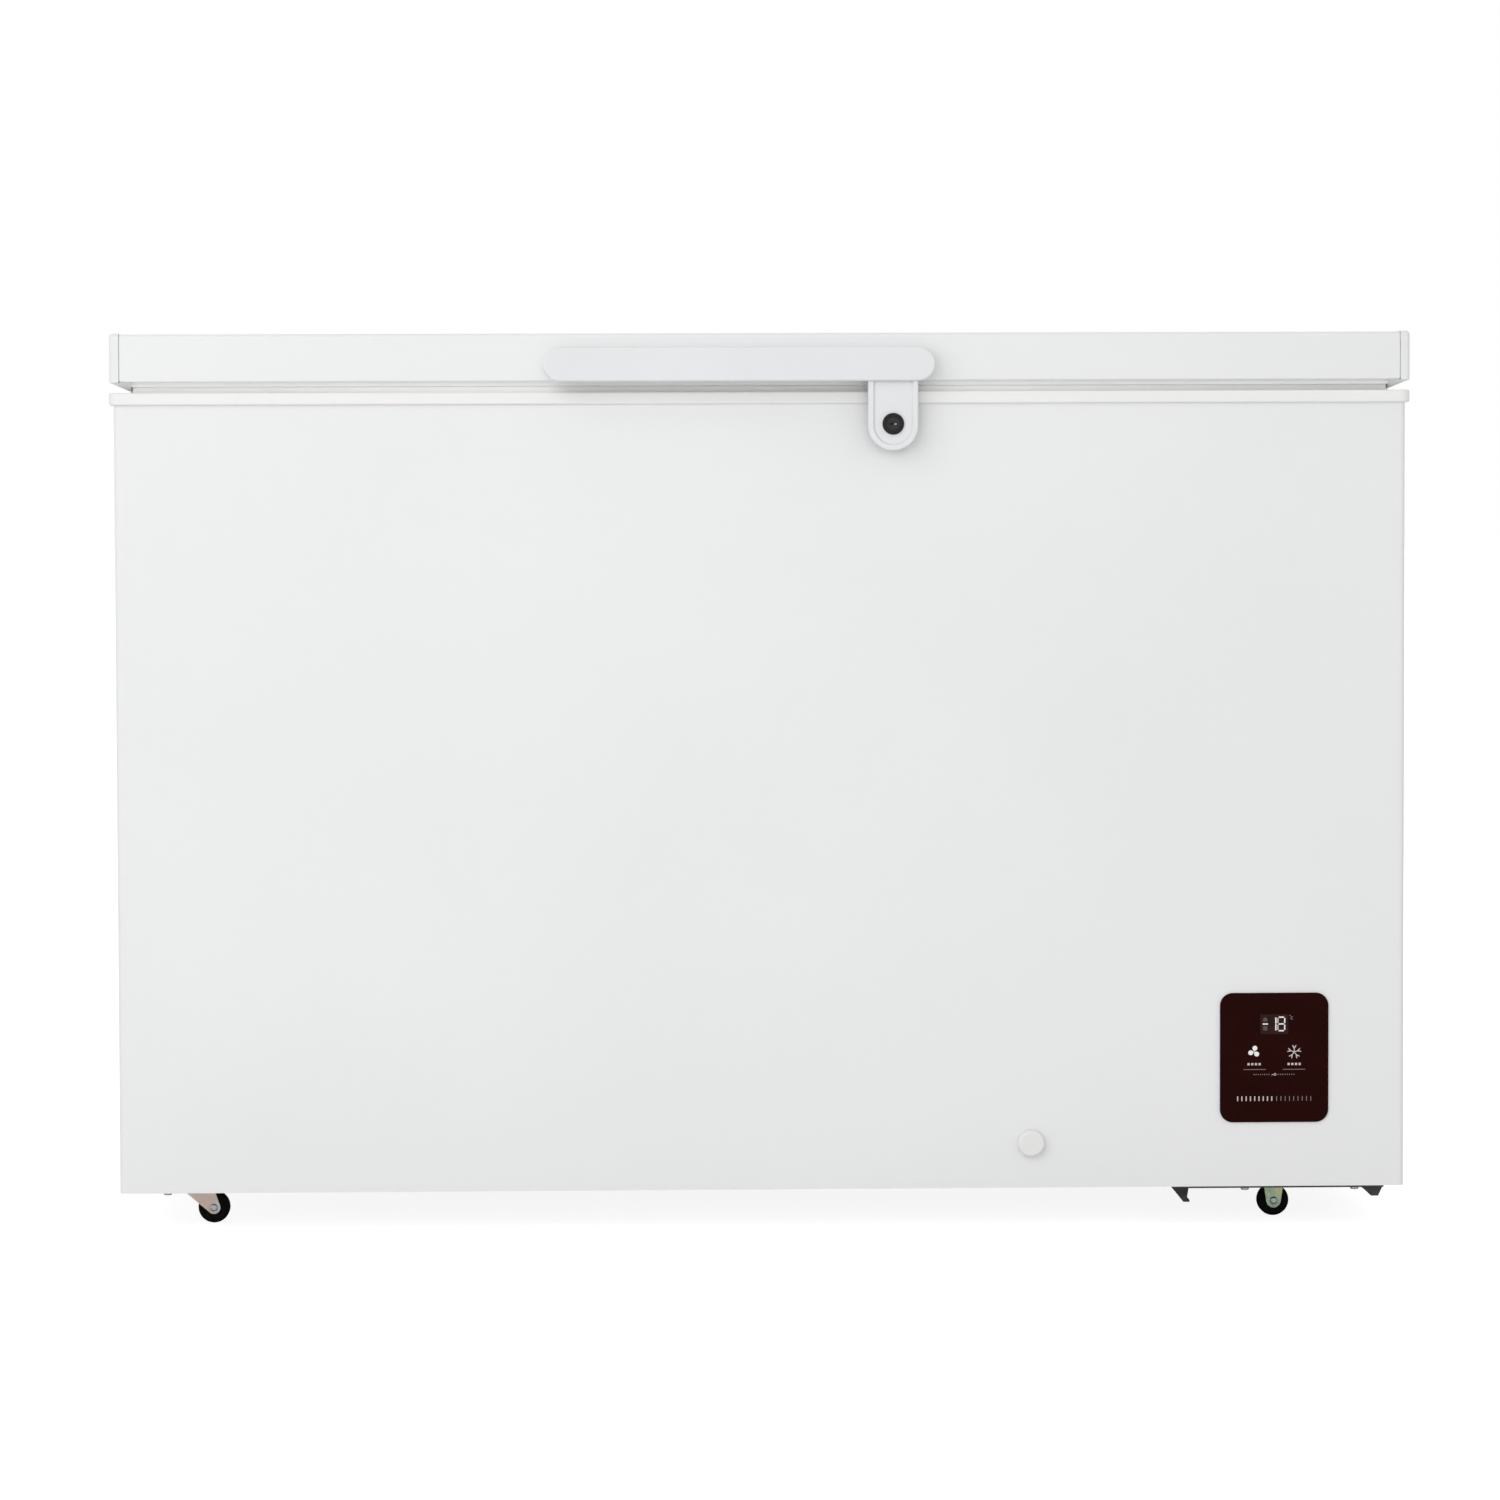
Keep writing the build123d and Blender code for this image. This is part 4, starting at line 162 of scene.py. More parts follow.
class Finish:
    """One procedural material: a Principled shader and the texture nodes that feed it."""

    def __init__(self, name, colour, roughness, metallic=0.0, **sockets):
        self.material = bpy.data.materials.new(name)
        self.material.use_nodes = True
        self.tree = self.material.node_tree
        self.shader = self.tree.nodes["Principled BSDF"]
        self.shader.inputs["Base Color"].default_value = (*colour, 1.0)
        self.shader.inputs["Roughness"].default_value = roughness
        self.shader.inputs["Metallic"].default_value = metallic
        for socket, value in sockets.items():
            self.shader.inputs[socket.replace("_", " ")].default_value = value
        self.place = self.node("ShaderNodeTexCoord").outputs["Object"]
        self.normal = None

    def node(self, kind, inputs=None, **settings):
        """A new node with its settings, and its inputs linked or set."""
        made = self.tree.nodes.new(kind)
        for key, value in settings.items():
            setattr(made, key, value)
        for key, value in (inputs or {}).items():
            if isinstance(value, bpy.types.NodeSocket):
                self.tree.links.new(value, made.inputs[key])
            else:
                made.inputs[key].default_value = value
        return made

    def stretched(self, stretch):
        """The place on the object, with each axis drawn out by its own factor."""
        return self.node("ShaderNodeMapping", {"Vector": self.place, "Scale": stretch}).outputs["Vector"]

    def noise(self, size, detail=2.0, stretch=(1, 1, 1)):
        """Clouds about `size` metres across."""
        inputs = {"Vector": self.stretched(stretch), "Scale": 1 / size, "Detail": detail}
        return self.node("ShaderNodeTexNoise", inputs).outputs["Fac"]

    def cells(self, size, feature="F1", output="Distance", stretch=(1, 1, 1)):
        """Cells about `size` metres across."""
        inputs = {"Vector": self.stretched(stretch), "Scale": 1 / size}
        return self.node("ShaderNodeTexVoronoi", inputs, feature=feature).outputs[output]

    def ramp(self, value, stops):
        """A colour taken from stops of (place, colour)."""
        made = self.node("ShaderNodeValToRGB", {"Fac": value})
        points = made.color_ramp.elements
        while len(points) < len(stops):
            points.new(0.5)
        for point, (place, colour) in zip(points, stops):
            point.position = place
            point.color = (*colour, 1.0)
        return made.outputs["Color"]

    def colour(self, value):
        """Feeds the base colour."""
        self.tree.links.new(value, self.shader.inputs["Base Color"])
        return self

    def tint(self, value, first, second):
        """Feeds the base colour with a drift between two colours."""
        return self.colour(self.ramp(value, [(NOISE_LOW, first), (NOISE_HIGH, second)]))

    def gloss(self, value, low, high):
        """Feeds the roughness with a drift between two values."""
        inputs = {"Value": value, "From Min": NOISE_LOW, "From Max": NOISE_HIGH,
                  "To Min": low, "To Max": high}
        drift = self.node("ShaderNodeMapRange", inputs).outputs["Result"]
        self.tree.links.new(drift, self.shader.inputs["Roughness"])
        return self

    def relief(self, height, depth):
        """Adds bumps of that depth in metres to those already there."""
        inputs = {"Height": height, "Distance": depth, "Strength": 1.0}
        if self.normal:
            inputs["Normal"] = self.normal
        self.normal = self.node("ShaderNodeBump", inputs).outputs["Normal"]
        self.tree.links.new(self.normal, self.shader.inputs["Normal"])
        return self


def white_paint():
    """Gloss enamel on sheet steel: fine orange peel, and the faint waves of a large sheet."""
    finish = Finish("white_paint", (0.83, 0.835, 0.84), 0.34, Coat_Weight=0.25, Coat_Roughness=0.18)
    finish.tint(finish.noise(0.35), (0.815, 0.82, 0.825), (0.835, 0.838, 0.842))
    finish.gloss(finish.noise(0.06, 3.0), 0.31, 0.38)
    finish.relief(finish.noise(0.30, 1.0), 0.0010)
    return finish.relief(finish.noise(0.0016, 1.0), 0.00002)


def back_paint():
    """Semi-gloss grey-white enamel of the rear sheet."""
    finish = Finish("back_paint", (0.72, 0.73, 0.74), 0.45)
    finish.tint(finish.noise(0.3), (0.70, 0.71, 0.72), (0.73, 0.74, 0.75))
    finish.gloss(finish.noise(0.05, 3.0), 0.42, 0.52)
    finish.relief(finish.noise(0.25, 1.0), 0.0014)
    return finish.relief(finish.noise(0.0018, 1.0), 0.00003)


def galvanised():
    """Hot-dip zinc with its spangles."""
    finish = Finish("galvanised", (0.60, 0.62, 0.64), 0.42, 1.0)
    spangle = finish.cells(0.012, output="Color")
    finish.tint(spangle, (0.48, 0.50, 0.52), (0.70, 0.72, 0.73))
    finish.gloss(spangle, 0.34, 0.55)
    return finish.relief(finish.cells(0.012), 0.00006)


def bright_zinc(name, colour, darker):
    """Thin bright zinc over pressed steel, with draw lines."""
    finish = Finish(name, colour, 0.36, 1.0)
    finish.tint(finish.noise(0.02, 4.0), darker, colour)
    finish.gloss(finish.noise(0.008, 3.0, (1, 1, 0.2)), 0.28, 0.48)
    return finish.relief(finish.noise(0.0009, 2.0, (1, 1, 0.15)), 0.00002)


def hinge_steel():
    return bright_zinc("hinge_steel", (0.58, 0.59, 0.60), (0.44, 0.45, 0.46))


def screw_zinc():
    return bright_zinc("screw_zinc", (0.56, 0.57, 0.58), (0.38, 0.39, 0.40))


def moulded(name, colour, roughness, grain=0.0007, depth=0.00001):
    """Moulded plastic with a fine spark-eroded grain."""
    finish = Finish(name, colour, roughness)
    shade = tuple(0.975 * part for part in colour)
    finish.tint(finish.noise(0.12), shade, colour)
    finish.gloss(finish.noise(0.03, 3.0), roughness - 0.04, roughness + 0.06)
    return finish.relief(finish.noise(grain, 2.0), depth)


def white_plastic():
    return moulded("white_plastic", (0.825, 0.83, 0.835), 0.36)


def handle_plastic():
    return moulded("handle_plastic", (0.785, 0.79, 0.80), 0.34)


# Painted light: this white is lighter than the plastic's own tone, to offset the shade that the lid's
# overhang casts on the collar.
def collar_plastic():
    return moulded("collar_plastic", (0.87, 0.865, 0.855), 0.40)


def cap_plastic():
    return moulded("cap_plastic", (0.81, 0.81, 0.79), 0.42)


# Painted light: the lid liner's plastic is made nearly full white to offset the shade it sits in under the
# lid's edge.
def lid_plastic_painted_light():
    return moulded("lid_plastic_painted_light", (0.90, 0.90, 0.89), 0.42)


def drain_plastic():
    return moulded("drain_plastic", (0.66, 0.66, 0.64), 0.5)


def grey_plastic():
    return moulded("grey_plastic", (0.30, 0.31, 0.32), 0.55, 0.0009, 0.00003)


def black_plastic():
    return moulded("black_plastic", (0.018, 0.018, 0.02), 0.5, 0.0009, 0.00003)


def foam():
    """Closed-cell polyurethane foam with a skin of small bubbles."""
    finish = Finish("foam", (0.78, 0.69, 0.42), 0.9)
    finish.tint(finish.noise(0.04, 4.0), (0.70, 0.60, 0.34), (0.82, 0.74, 0.48))
    return finish.relief(finish.cells(0.003), 0.0006)


def liner_sheet():
    """Stucco-embossed coated aluminium, as inside chest freezers."""
    finish = Finish("liner_sheet", (0.84, 0.85, 0.86), 0.36, 0.20)
    grain = finish.cells(0.006, "SMOOTH_F1", stretch=(1, 1, 0.8))
    finish.tint(finish.noise(0.2), (0.82, 0.83, 0.84), (0.86, 0.87, 0.88))
    finish.gloss(finish.noise(0.05, 3.0), 0.28, 0.42)
    return finish.relief(grain, 0.0007)


def gasket():
    """Soft white vinyl with faint draw lines."""
    finish = Finish("gasket", (0.88, 0.88, 0.87), 0.55)
    finish.tint(finish.noise(0.05, 3.0), (0.86, 0.86, 0.85), (0.90, 0.90, 0.89))
    return finish.relief(finish.noise(0.0012, 2.0, (0.1, 0.1, 1)), 0.00005)


def dark_steel():
    """Black dip coating, slightly pitted, with grey rubbed spots."""
    finish = Finish("dark_steel", (0.040, 0.041, 0.038), 0.45, Specular_IOR_Level=0.30)
    finish.colour(finish.ramp(finish.noise(0.012, 5.0), [
        (0.35, (0.034, 0.035, 0.032)), (0.62, (0.056, 0.057, 0.053)), (0.75, (0.11, 0.11, 0.105))]))
    finish.gloss(finish.noise(0.01, 3.0), 0.38, 0.6)
    return finish.relief(finish.noise(0.002, 3.0), 0.00006)


def black_rubber():
    finish = Finish("black_rubber", (0.016, 0.016, 0.016), 0.75)
    finish.tint(finish.noise(0.01, 3.0), (0.012, 0.012, 0.012), (0.024, 0.024, 0.023))
    return finish.relief(finish.noise(0.0006, 2.0), 0.00003)


def copper():
    """Drawn copper tube, dulled in patches."""
    finish = Finish("copper", (0.62, 0.33, 0.20), 0.35, 1.0)
    finish.tint(finish.noise(0.03, 5.0), (0.40, 0.20, 0.13), (0.68, 0.38, 0.24))
    finish.gloss(finish.noise(0.012, 3.0), 0.26, 0.5)
    return finish.relief(finish.noise(0.001, 2.0), 0.00001)


def condenser_steel():
    return bright_zinc("condenser_steel", (0.33, 0.32, 0.31), (0.22, 0.21, 0.20))


def evaporator_tube():
    return bright_zinc("evaporator_tube", (0.72, 0.72, 0.73), (0.58, 0.58, 0.59))


def dark_glass():
    """Maroon-black polished panel with the faintest orange peel."""
    finish = Finish("dark_glass", (0.018, 0.0036, 0.0030), 0.10, Specular_IOR_Level=0.015)
    finish.tint(finish.noise(0.05), (0.0170, 0.0034, 0.0028), (0.0200, 0.0040, 0.0033))
    finish.gloss(finish.noise(0.02, 3.0), 0.08, 0.14)
    return finish.relief(finish.noise(0.01, 1.0), 0.00001)


def circuit_board():
    finish = Finish("circuit_board", (0.015, 0.12, 0.05), 0.4)
    finish.tint(finish.cells(0.003), (0.012, 0.09, 0.04), (0.03, 0.20, 0.09))
    return finish.relief(finish.cells(0.002), 0.00003)


def lock_black():
    """Black lacquer on a die casting."""
    finish = Finish("lock_black", (0.012, 0.012, 0.013), 0.30, Specular_IOR_Level=0.20)
    finish.tint(finish.noise(0.004, 3.0), (0.010, 0.010, 0.011), (0.018, 0.018, 0.019))
    finish.gloss(finish.noise(0.003, 3.0), 0.24, 0.40)
    return finish.relief(finish.noise(0.0005, 2.0), 0.00001)


def plug_nickel():
    """Black nickel on the lock's plug, brushed by keys."""
    finish = Finish("plug_nickel", (0.014, 0.014, 0.015), 0.26, Specular_IOR_Level=0.42)
    finish.tint(finish.noise(0.0015, 4.0, (0.3, 1, 1)), (0.010, 0.010, 0.011), (0.022, 0.022, 0.023))
    finish.gloss(finish.noise(0.002, 3.0), 0.20, 0.36)
    return finish.relief(finish.noise(0.0004, 2.0, (0.2, 1, 1)), 0.00001)


def bolt_zinc():
    return bright_zinc("bolt_zinc", (0.80, 0.83, 0.85), (0.44, 0.47, 0.49))


def passivated(name, stops, size):
    """Zinc under a thin passivation film, whose colour drifts from place to place."""
    finish = Finish(name, stops[0][1], 0.33, 1.0)
    finish.colour(finish.ramp(finish.noise(size, 3.0), stops))
    finish.gloss(finish.noise(0.004, 3.0), 0.24, 0.44)
    return finish.relief(finish.noise(0.0008, 2.0), 0.00002)


def zinc_silver():
    return passivated("zinc_silver", [
        (0.30, (0.65, 0.67, 0.68)), (0.43, (0.72, 0.57, 0.49)), (0.57, (0.81, 0.65, 0.57)),
        (0.70, (0.78, 0.79, 0.78))], 0.024)


def zinc_yellow():
    return passivated("zinc_yellow", [
        (0.30, (0.66, 0.62, 0.32)), (0.43, (0.40, 0.55, 0.40)), (0.55, (0.48, 0.61, 0.44)),
        (0.63, (0.70, 0.64, 0.34)), (0.74, (0.66, 0.49, 0.36))], 0.016)


def wheel_black():
    """Hard black nylon with a little floor dust."""
    finish = Finish("wheel_black", (0.006, 0.006, 0.006), 0.50, Specular_IOR_Level=0.05)
    finish.colour(finish.ramp(finish.noise(0.006, 5.0), [
        (0.45, (0.0055, 0.0055, 0.0055)), (0.7, (0.0085, 0.0085, 0.0082)), (0.85, (0.020, 0.019, 0.018))]))
    finish.gloss(finish.noise(0.005, 3.0), 0.4, 0.62)
    return finish.relief(finish.noise(0.0007, 2.0), 0.00002)


def basket_coating():
    """Thick dipped coating over steel wire, with small sags."""
    finish = Finish("basket_coating", (0.80, 0.80, 0.79), 0.32)
    finish.tint(finish.noise(0.03), (0.77, 0.77, 0.76), (0.81, 0.81, 0.80))
    return finish.relief(finish.noise(0.006, 2.0), 0.0002)


def panel_light(name, colour, strength):
    """A lit mark behind the panel's face."""
    finish = Finish(name, colour, 0.4, Emission_Color=(*colour, 1.0), Emission_Strength=strength)
    return finish.tint(finish.noise(0.002), colour, tuple(0.95 * part for part in colour))


def window_film():
    """The smoked window in front of the digits."""
    finish = Finish("window_film", (0.030, 0.013, 0.012), 0.2, Specular_IOR_Level=0.05)
    finish.tint(finish.noise(0.01), (0.027, 0.011, 0.010), (0.034, 0.015, 0.014))
    return finish.gloss(finish.noise(0.004), 0.16, 0.26)


# One finish for each material slot, under the slot's name
FINISHES = (white_paint, back_paint, galvanised, hinge_steel, screw_zinc, white_plastic, collar_plastic,
            drain_plastic, foam, liner_sheet, gasket, dark_steel, black_rubber, black_plastic, grey_plastic,
            copper, condenser_steel, evaporator_tube, dark_glass, circuit_board, lock_black, zinc_silver,
            zinc_yellow, wheel_black, basket_coating)
finishes = {make.__name__: make().material for make in FINISHES}
for subpart in frame["record"]["subparts"]:
    node_materials = frame["nodes"][subpart["node"]].data.materials
    node_materials.clear()
    node_materials.append(finishes[subpart["material_slot"]])

# Nodes that share a slot with others but have a finish of their own
OWN_FINISHES = ((handle_plastic, ("handle", "lock_housing")), (cap_plastic, ("drain_cap", "drain_stopper")),
                (lid_plastic_painted_light, ("lid_liner",)), (plug_nickel, ("lock_plug",)),
                (bolt_zinc, ("swivel_axle_front", "swivel_axle_rear", "rigid_axles")))
for make, nodes in OWN_FINISHES:
    own_finish = make().material
    for node in nodes:
        frame["nodes"][node].data.materials[0] = own_finish

panel_low, panel_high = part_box("control_panel")
panel_middle = (panel_low + panel_high) / 2


def around(middle, radius, turn):
    """The point at that turn on a circle."""
    return (middle[0] + radius * math.cos(turn), middle[1] + radius * math.sin(turn))


def circle(middle, radius, corners):
    """Points round a circle on the panel."""
    return [around(middle, radius, 2 * math.pi * k / corners) for k in range(corners)]


def bar(start, end, width):
    """A straight stroke between two points on the panel."""
    along = Vector(end) - Vector(start)
    side = Vector((-along.y, along.x)).normalized() * width / 2
    corners = ((start, -side), (end, -side), (end, side), (start, side))
    return [tuple(Vector(point) + shift) for point, shift in corners]


def rounded(low, high, corner, steps=6):
    """A flat rectangle with round corners."""
    middles = ((high[0] - corner, high[1] - corner), (low[0] + corner, high[1] - corner),
               (low[0] + corner, low[1] + corner), (high[0] - corner, low[1] + corner))
    points = []
    for quarter, middle in enumerate(middles):
        for k in range(steps + 1):
            turn = math.pi / 2 * (quarter + k / steps)
            points.append(around(middle, corner, turn))
    return points


def ring(middle, radius, stroke, start=0, end=360, steps=16):
    """Quads along an arc of a ring on the panel, given in degrees."""
    turns = [math.radians(start + (end - start) * k / steps) for k in range(steps + 1)]
    outer = [around(middle, radius, turn) for turn in turns]
    inner = [around(middle, radius - stroke, turn) for turn in turns]
    return [[outer[k], outer[k + 1], inner[k + 1], inner[k]] for k in range(steps)]


def teardrop(tip, middle, radius, steps=18):
    """A round lobe drawn out to a tip on the panel."""
    away = Vector(middle) - Vector(tip)
    heading = math.atan2(away.y, away.x) + math.pi
    half = math.acos(radius / away.length)
    turns = [heading + half + 2 * (math.pi - half) * k / steps for k in range(steps + 1)]
    return [tip] + [around(middle, radius, turn) for turn in turns]


def row(ends, count, low, size):
    """Upright marks of one size spread evenly between two places on the panel."""
    step = (ends[1] - ends[0]) / (count - 1)
    marks = []
    for k in range(count):
        middle = ends[0] + k * step
        marks.append(bar((middle, low), (middle, low + size[1]), size[0]))
    return marks


def finished_piece(name, build, finish):
    """An object with the built mesh and one finish."""
    mesh = bpy.data.meshes.new(name)
    build.to_mesh(mesh)
    build.free()
    mesh.materials.append(finish)
    piece = bpy.data.objects.new(name, mesh)
    bpy.context.scene.collection.objects.link(piece)
    return piece


def prism(build, first, second):
    """Closes the body between two outlines with equally many points."""
    build.faces.new(first)
    build.faces.new(second)
    for k in range(len(first)):
        build.faces.new((first[k - 1], first[k], second[k], second[k - 1]))


def panel_mark(name, outlines, finish, level=0):
    """Thin flat shapes on the panel's face, `level` thicknesses in front of it."""
    build = bmesh.new()
    back = panel_low.y - level * MARK_THICKNESS * MM
    for outline in outlines:
        places = [(panel_middle.x + x * MM, back, panel_middle.z + z * MM) for x, z in outline]
        build.faces.new([build.verts.new(place) for place in places])
    bmesh.ops.remove_doubles(build, verts=build.verts, dist=WELD_DISTANCE * MM)
    raised = bmesh.ops.extrude_face_region(build, geom=build.faces[:])["geom"]
    front = [part for part in raised if isinstance(part, bmesh.types.BMVert)]
    bmesh.ops.translate(build, vec=(0, -MARK_THICKNESS * MM, 0), verts=front)
    bmesh.ops.recalc_face_normals(build, faces=build.faces)
    mark = finished_piece(name, build, finish)
    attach(mark, "cabinet")


def gasket_ring():
    """The lid's magnetic seal: foot, bellows, magnet pocket and dust fin all round, and a bulb in front."""
    outer = GASKET_SIDE + GASKET_FIN + GASKET_SOLE
    inner = [(GASKET_WIDTH - across, up) for across, up in reversed(GASKET_SIDE)]
    section = [*outer, *[(GASKET_WIDTH - across, up) for across, up in reversed(GASKET_SOLE)], *inner]
    low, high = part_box("lid_gasket")
    build = bmesh.new()
    loops = []
    for across, up in section:
        inset = across * MM
        corners = (low.x + inset, low.y + inset), (high.x - inset, high.y - inset)
        plan = rounded(*corners, GASKET_CORNER * MM)
        loops.append([build.verts.new((x, y, low.z + up * MM)) for x, y in plan])
    for loop, following in zip(loops, loops[1:] + loops[:1]):
        for k in range(len(loop)):
            build.faces.new((loop[k - 1], loop[k], following[k], following[k - 1]))
    bulb = [(low.y + across * MM, low.z + up * MM) for across, up in GASKET_BULB]
    prism(build, *([build.verts.new((end, y, z)) for y, z in bulb] for end in (low.x, high.x)))
    bmesh.ops.recalc_face_normals(build, faces=build.faces)
    for face in build.faces:
        face.smooth = len(face.verts) == 4
    seal = finished_piece("gasket_ring", build, finishes["gasket"])
    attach(seal, "lid")
    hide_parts("lid_gasket")


def keyway_flap():
    """The small bright flap that closes the keyway from inside."""
    low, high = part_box("lock_plug")
    middle = (low + high) / 2
    build = bmesh.new()
    corners = []
    for depth in (0, FLAP_SHEET):
        for side, level in ((0, 0), (1, 0), (1, 1), (0, 1)):
            place = (FLAP_ENDS[side], FLAP_SINKS[level] + depth, FLAP_HEIGHTS[level])
            corners.append(build.verts.new(Vector((middle.x, low.y, middle.z)) + Vector(place) * MM))
    prism(build, corners[:4], corners[4:])
    bmesh.ops.recalc_face_normals(build, faces=build.faces)
    bmesh.ops.bevel(build, geom=build.edges[:], offset=FLAP_BEVEL * MM, segments=2, profile=0.5,
                    affect="EDGES")
    flap = finished_piece("keyway_flap", build, finishes["evaporator_tube"])
    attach(flap, "lock")


def hinge_coils():
    """The hinge springs copied as a piece of their own on the cabinet, in place of the imported springs."""
    springs = frame["nodes"]["hinge_springs"]
    coils = bpy.data.objects.new("hinge_coils", springs.data.copy())
    coils.matrix_world = springs.matrix_world
    bpy.context.scene.collection.objects.link(coils)
    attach(coils, "cabinet")
    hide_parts("hinge_springs")
    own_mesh(coils)


def digit_strokes(left, right, segments):
    """Strokes of a seven-part digit, lettered a to g as on any such display."""
    low, middle, high, gap = DIGIT_LOW, DIGIT_MIDDLE, DIGIT_HIGH, DIGIT_GAP
    ends = {
        "a": ((left + gap, high), (right - gap, high)),
        "b": ((right, high - gap), (right, middle + gap)),
        "c": ((right, middle - gap), (right, low + gap)),
        "d": ((left + gap, low), (right - gap, low)),
        "e": ((left, middle - gap), (left, low + gap)),
        "f": ((left, high - gap), (left, middle + gap)),
        "g": ((left + gap, middle), (right - gap, middle))}
    return [bar(*ends[segment], DIGIT_STROKE) for segment in segments]


def fan_lobes():
    """Three round lobes that meet in the middle."""
    lobes = []
    for turn in map(math.radians, FAN_TURNS):
        out = Vector((math.cos(turn), math.sin(turn)))
        tip = Vector(FAN_PLACE) + out * FAN_TIP
        lobes.append(teardrop(tuple(tip), tuple(Vector(FAN_PLACE) + out * FAN_REACH), FAN_LOBE))
    return lobes


def snow_arms():
    """Arms with forked tips, joined by a small hub."""
    middle = Vector(SNOW_PLACE)
    half = SNOW_STROKE / 2
    hub, arms = [], []
    for arm in range(SNOW_ARMS):
        turn = math.pi / 2 + arm * 2 * math.pi / SNOW_ARMS
        out = Vector((math.cos(turn), math.sin(turn)))
        side = Vector((-out.y, out.x))
        root = middle + out * half / math.tan(math.pi / SNOW_ARMS)
        fork = middle + out * SNOW_FORK
        crotch = fork + out * half * SNOW_TIP / SNOW_SPREAD
        stem = [root - side * half, fork - side * half, fork + side * half, root + side * half]
        arms.append([tuple(point) for point in stem])
        for hand in (-1, 1):
            tip = middle + out * SNOW_TIP + side * hand * SNOW_SPREAD
            prong = [fork + side * hand * half, tip + side * hand * half, tip - side * hand * half, crotch]
            arms.append([tuple(point) for point in prong])
        arms.append([tuple(point) for point in (fork - side * half, crotch, fork + side * half)])
        hub.append(tuple(root - side * half))
    return [hub] + arms


gasket_ring()
keyway_flap()
hinge_coils()

pale_light = panel_light("pale_light", (0.80, 0.77, 0.76), 0.12).material
soft_light = panel_light("soft_light", (0.55, 0.48, 0.47), 0.06).material
faint_light = panel_light("faint_light", (0.26, 0.21, 0.20), 0.0).material
ghost_light = panel_light("ghost_light", (0.080, 0.055, 0.052), 0.0).material

panel_mark("display_window", [rounded(*WINDOW, WINDOW_CORNER)], window_film().material)
panel_mark("display_ghosts", [rounded(*GHOST_BLOCK, GHOST_CORNER), GHOST_HOOD], ghost_light, 1)
panel_mark("display_digits", [
    bar((MINUS_ENDS[0], DIGIT_MIDDLE), (MINUS_ENDS[1], DIGIT_MIDDLE), DIGIT_STROKE),
    bar((ONE_PLACE, DIGIT_LOW + ONE_HALF_GAP), (ONE_PLACE, DIGIT_MIDDLE - ONE_HALF_GAP), DIGIT_STROKE),
    bar((ONE_PLACE, DIGIT_MIDDLE + ONE_HALF_GAP), (ONE_PLACE, DIGIT_HIGH - ONE_HALF_GAP), DIGIT_STROKE),
    *digit_strokes(*DIGIT_ENDS, "abcdg")], pale_light, 1)
panel_mark("display_dim_digits", digit_strokes(*DIGIT_ENDS, "ef"), soft_light, 1)
panel_mark("display_unit", [
    circle(DEGREE_PLACE, DEGREE_RADIUS, DEGREE_CORNERS),
    *ring(UNIT_PLACE, UNIT_RADIUS, UNIT_STROKE, *UNIT_TURNS)], faint_light)
panel_mark("fan_symbol", fan_lobes(), pale_light)
panel_mark("snow_symbol", snow_arms(), soft_light)
panel_mark("key_symbol", [
    *ring(KEY_RING_PLACE, KEY_RING, KEY_STROKE),
    bar((KEY_RING_PLACE[0] - KEY_RING, KEY_RING_PLACE[1]), KEY_TIP, KEY_STROKE)], soft_light)
rules = [bar((left, RULE_HEIGHT), (right, RULE_HEIGHT), RULE_STROKE) for left, right in RULE_ENDS]
dots = [dot for ends in DOT_ENDS for dot in row(ends, DOT_COUNT, DOT_LOW, DOT_SIZE)]
panel_mark("panel_rules", rules + dots, faint_light)
steps = [step for ends in STEP_ENDS for step in row(ends, STEP_COUNT, STEP_LOW, STEP_SIZE)]
panel_mark("key_steps", steps, soft_light)
panel_mark("level_scale", row(SCALE_ENDS[0], SCALE_COUNT, SCALE_LOW, SCALE_SIZES[0]), soft_light)
panel_mark("level_scale_dim", row(SCALE_ENDS[1], SCALE_COUNT, SCALE_LOW, SCALE_SIZES[1]), faint_light)


def floor():
    """A plain pale floor that glows for the camera, so that it stays white and keeps a soft shadow."""
    material = bpy.data.materials.new("floor_white")
    material.use_nodes = True
    tree = material.node_tree
    tree.nodes.clear()
    surface = tree.nodes.new("ShaderNodeBsdfDiffuse")
    surface.inputs["Color"].default_value = FLOOR_COLOUR
    glow = tree.nodes.new("ShaderNodeEmission")
    glow.inputs["Strength"].default_value = FLOOR_GLOW
    share = tree.nodes.new("ShaderNodeMath")
    share.operation = "MULTIPLY"
    share.inputs[1].default_value = FLOOR_GLOW_SHARE
    mix = tree.nodes.new("ShaderNodeMixShader")
    path = tree.nodes.new("ShaderNodeLightPath")
    tree.links.new(path.outputs["Is Camera Ray"], share.inputs[0])
    tree.links.new(share.outputs["Value"], mix.inputs["Fac"])
    tree.links.new(surface.outputs["BSDF"], mix.inputs[1])
    tree.links.new(glow.outputs["Emission"], mix.inputs[2])
    tree.links.new(mix.outputs["Shader"], tree.nodes.new("ShaderNodeOutputMaterial").inputs["Surface"])
    build = bmesh.new()
    bmesh.ops.create_circle(build, cap_ends=True, segments=FLOOR_SIDES, radius=FLOOR_RADIUS)
    finished_piece("floor", build, material)


def seen_directly(tree):
    """1 for rays from the camera or through a mirror or glass, and 0 for the rays that light surfaces."""
    path = tree.nodes.new("ShaderNodeLightPath")
    total = path.outputs["Is Camera Ray"]
    for kind in ("Is Glossy Ray", "Is Transmission Ray"):
        larger = tree.nodes.new("ShaderNodeMath")
        larger.operation = "MAXIMUM"
        tree.links.new(total, larger.inputs[0])
        tree.links.new(path.outputs[kind], larger.inputs[1])
        total = larger.outputs["Value"]
    return total


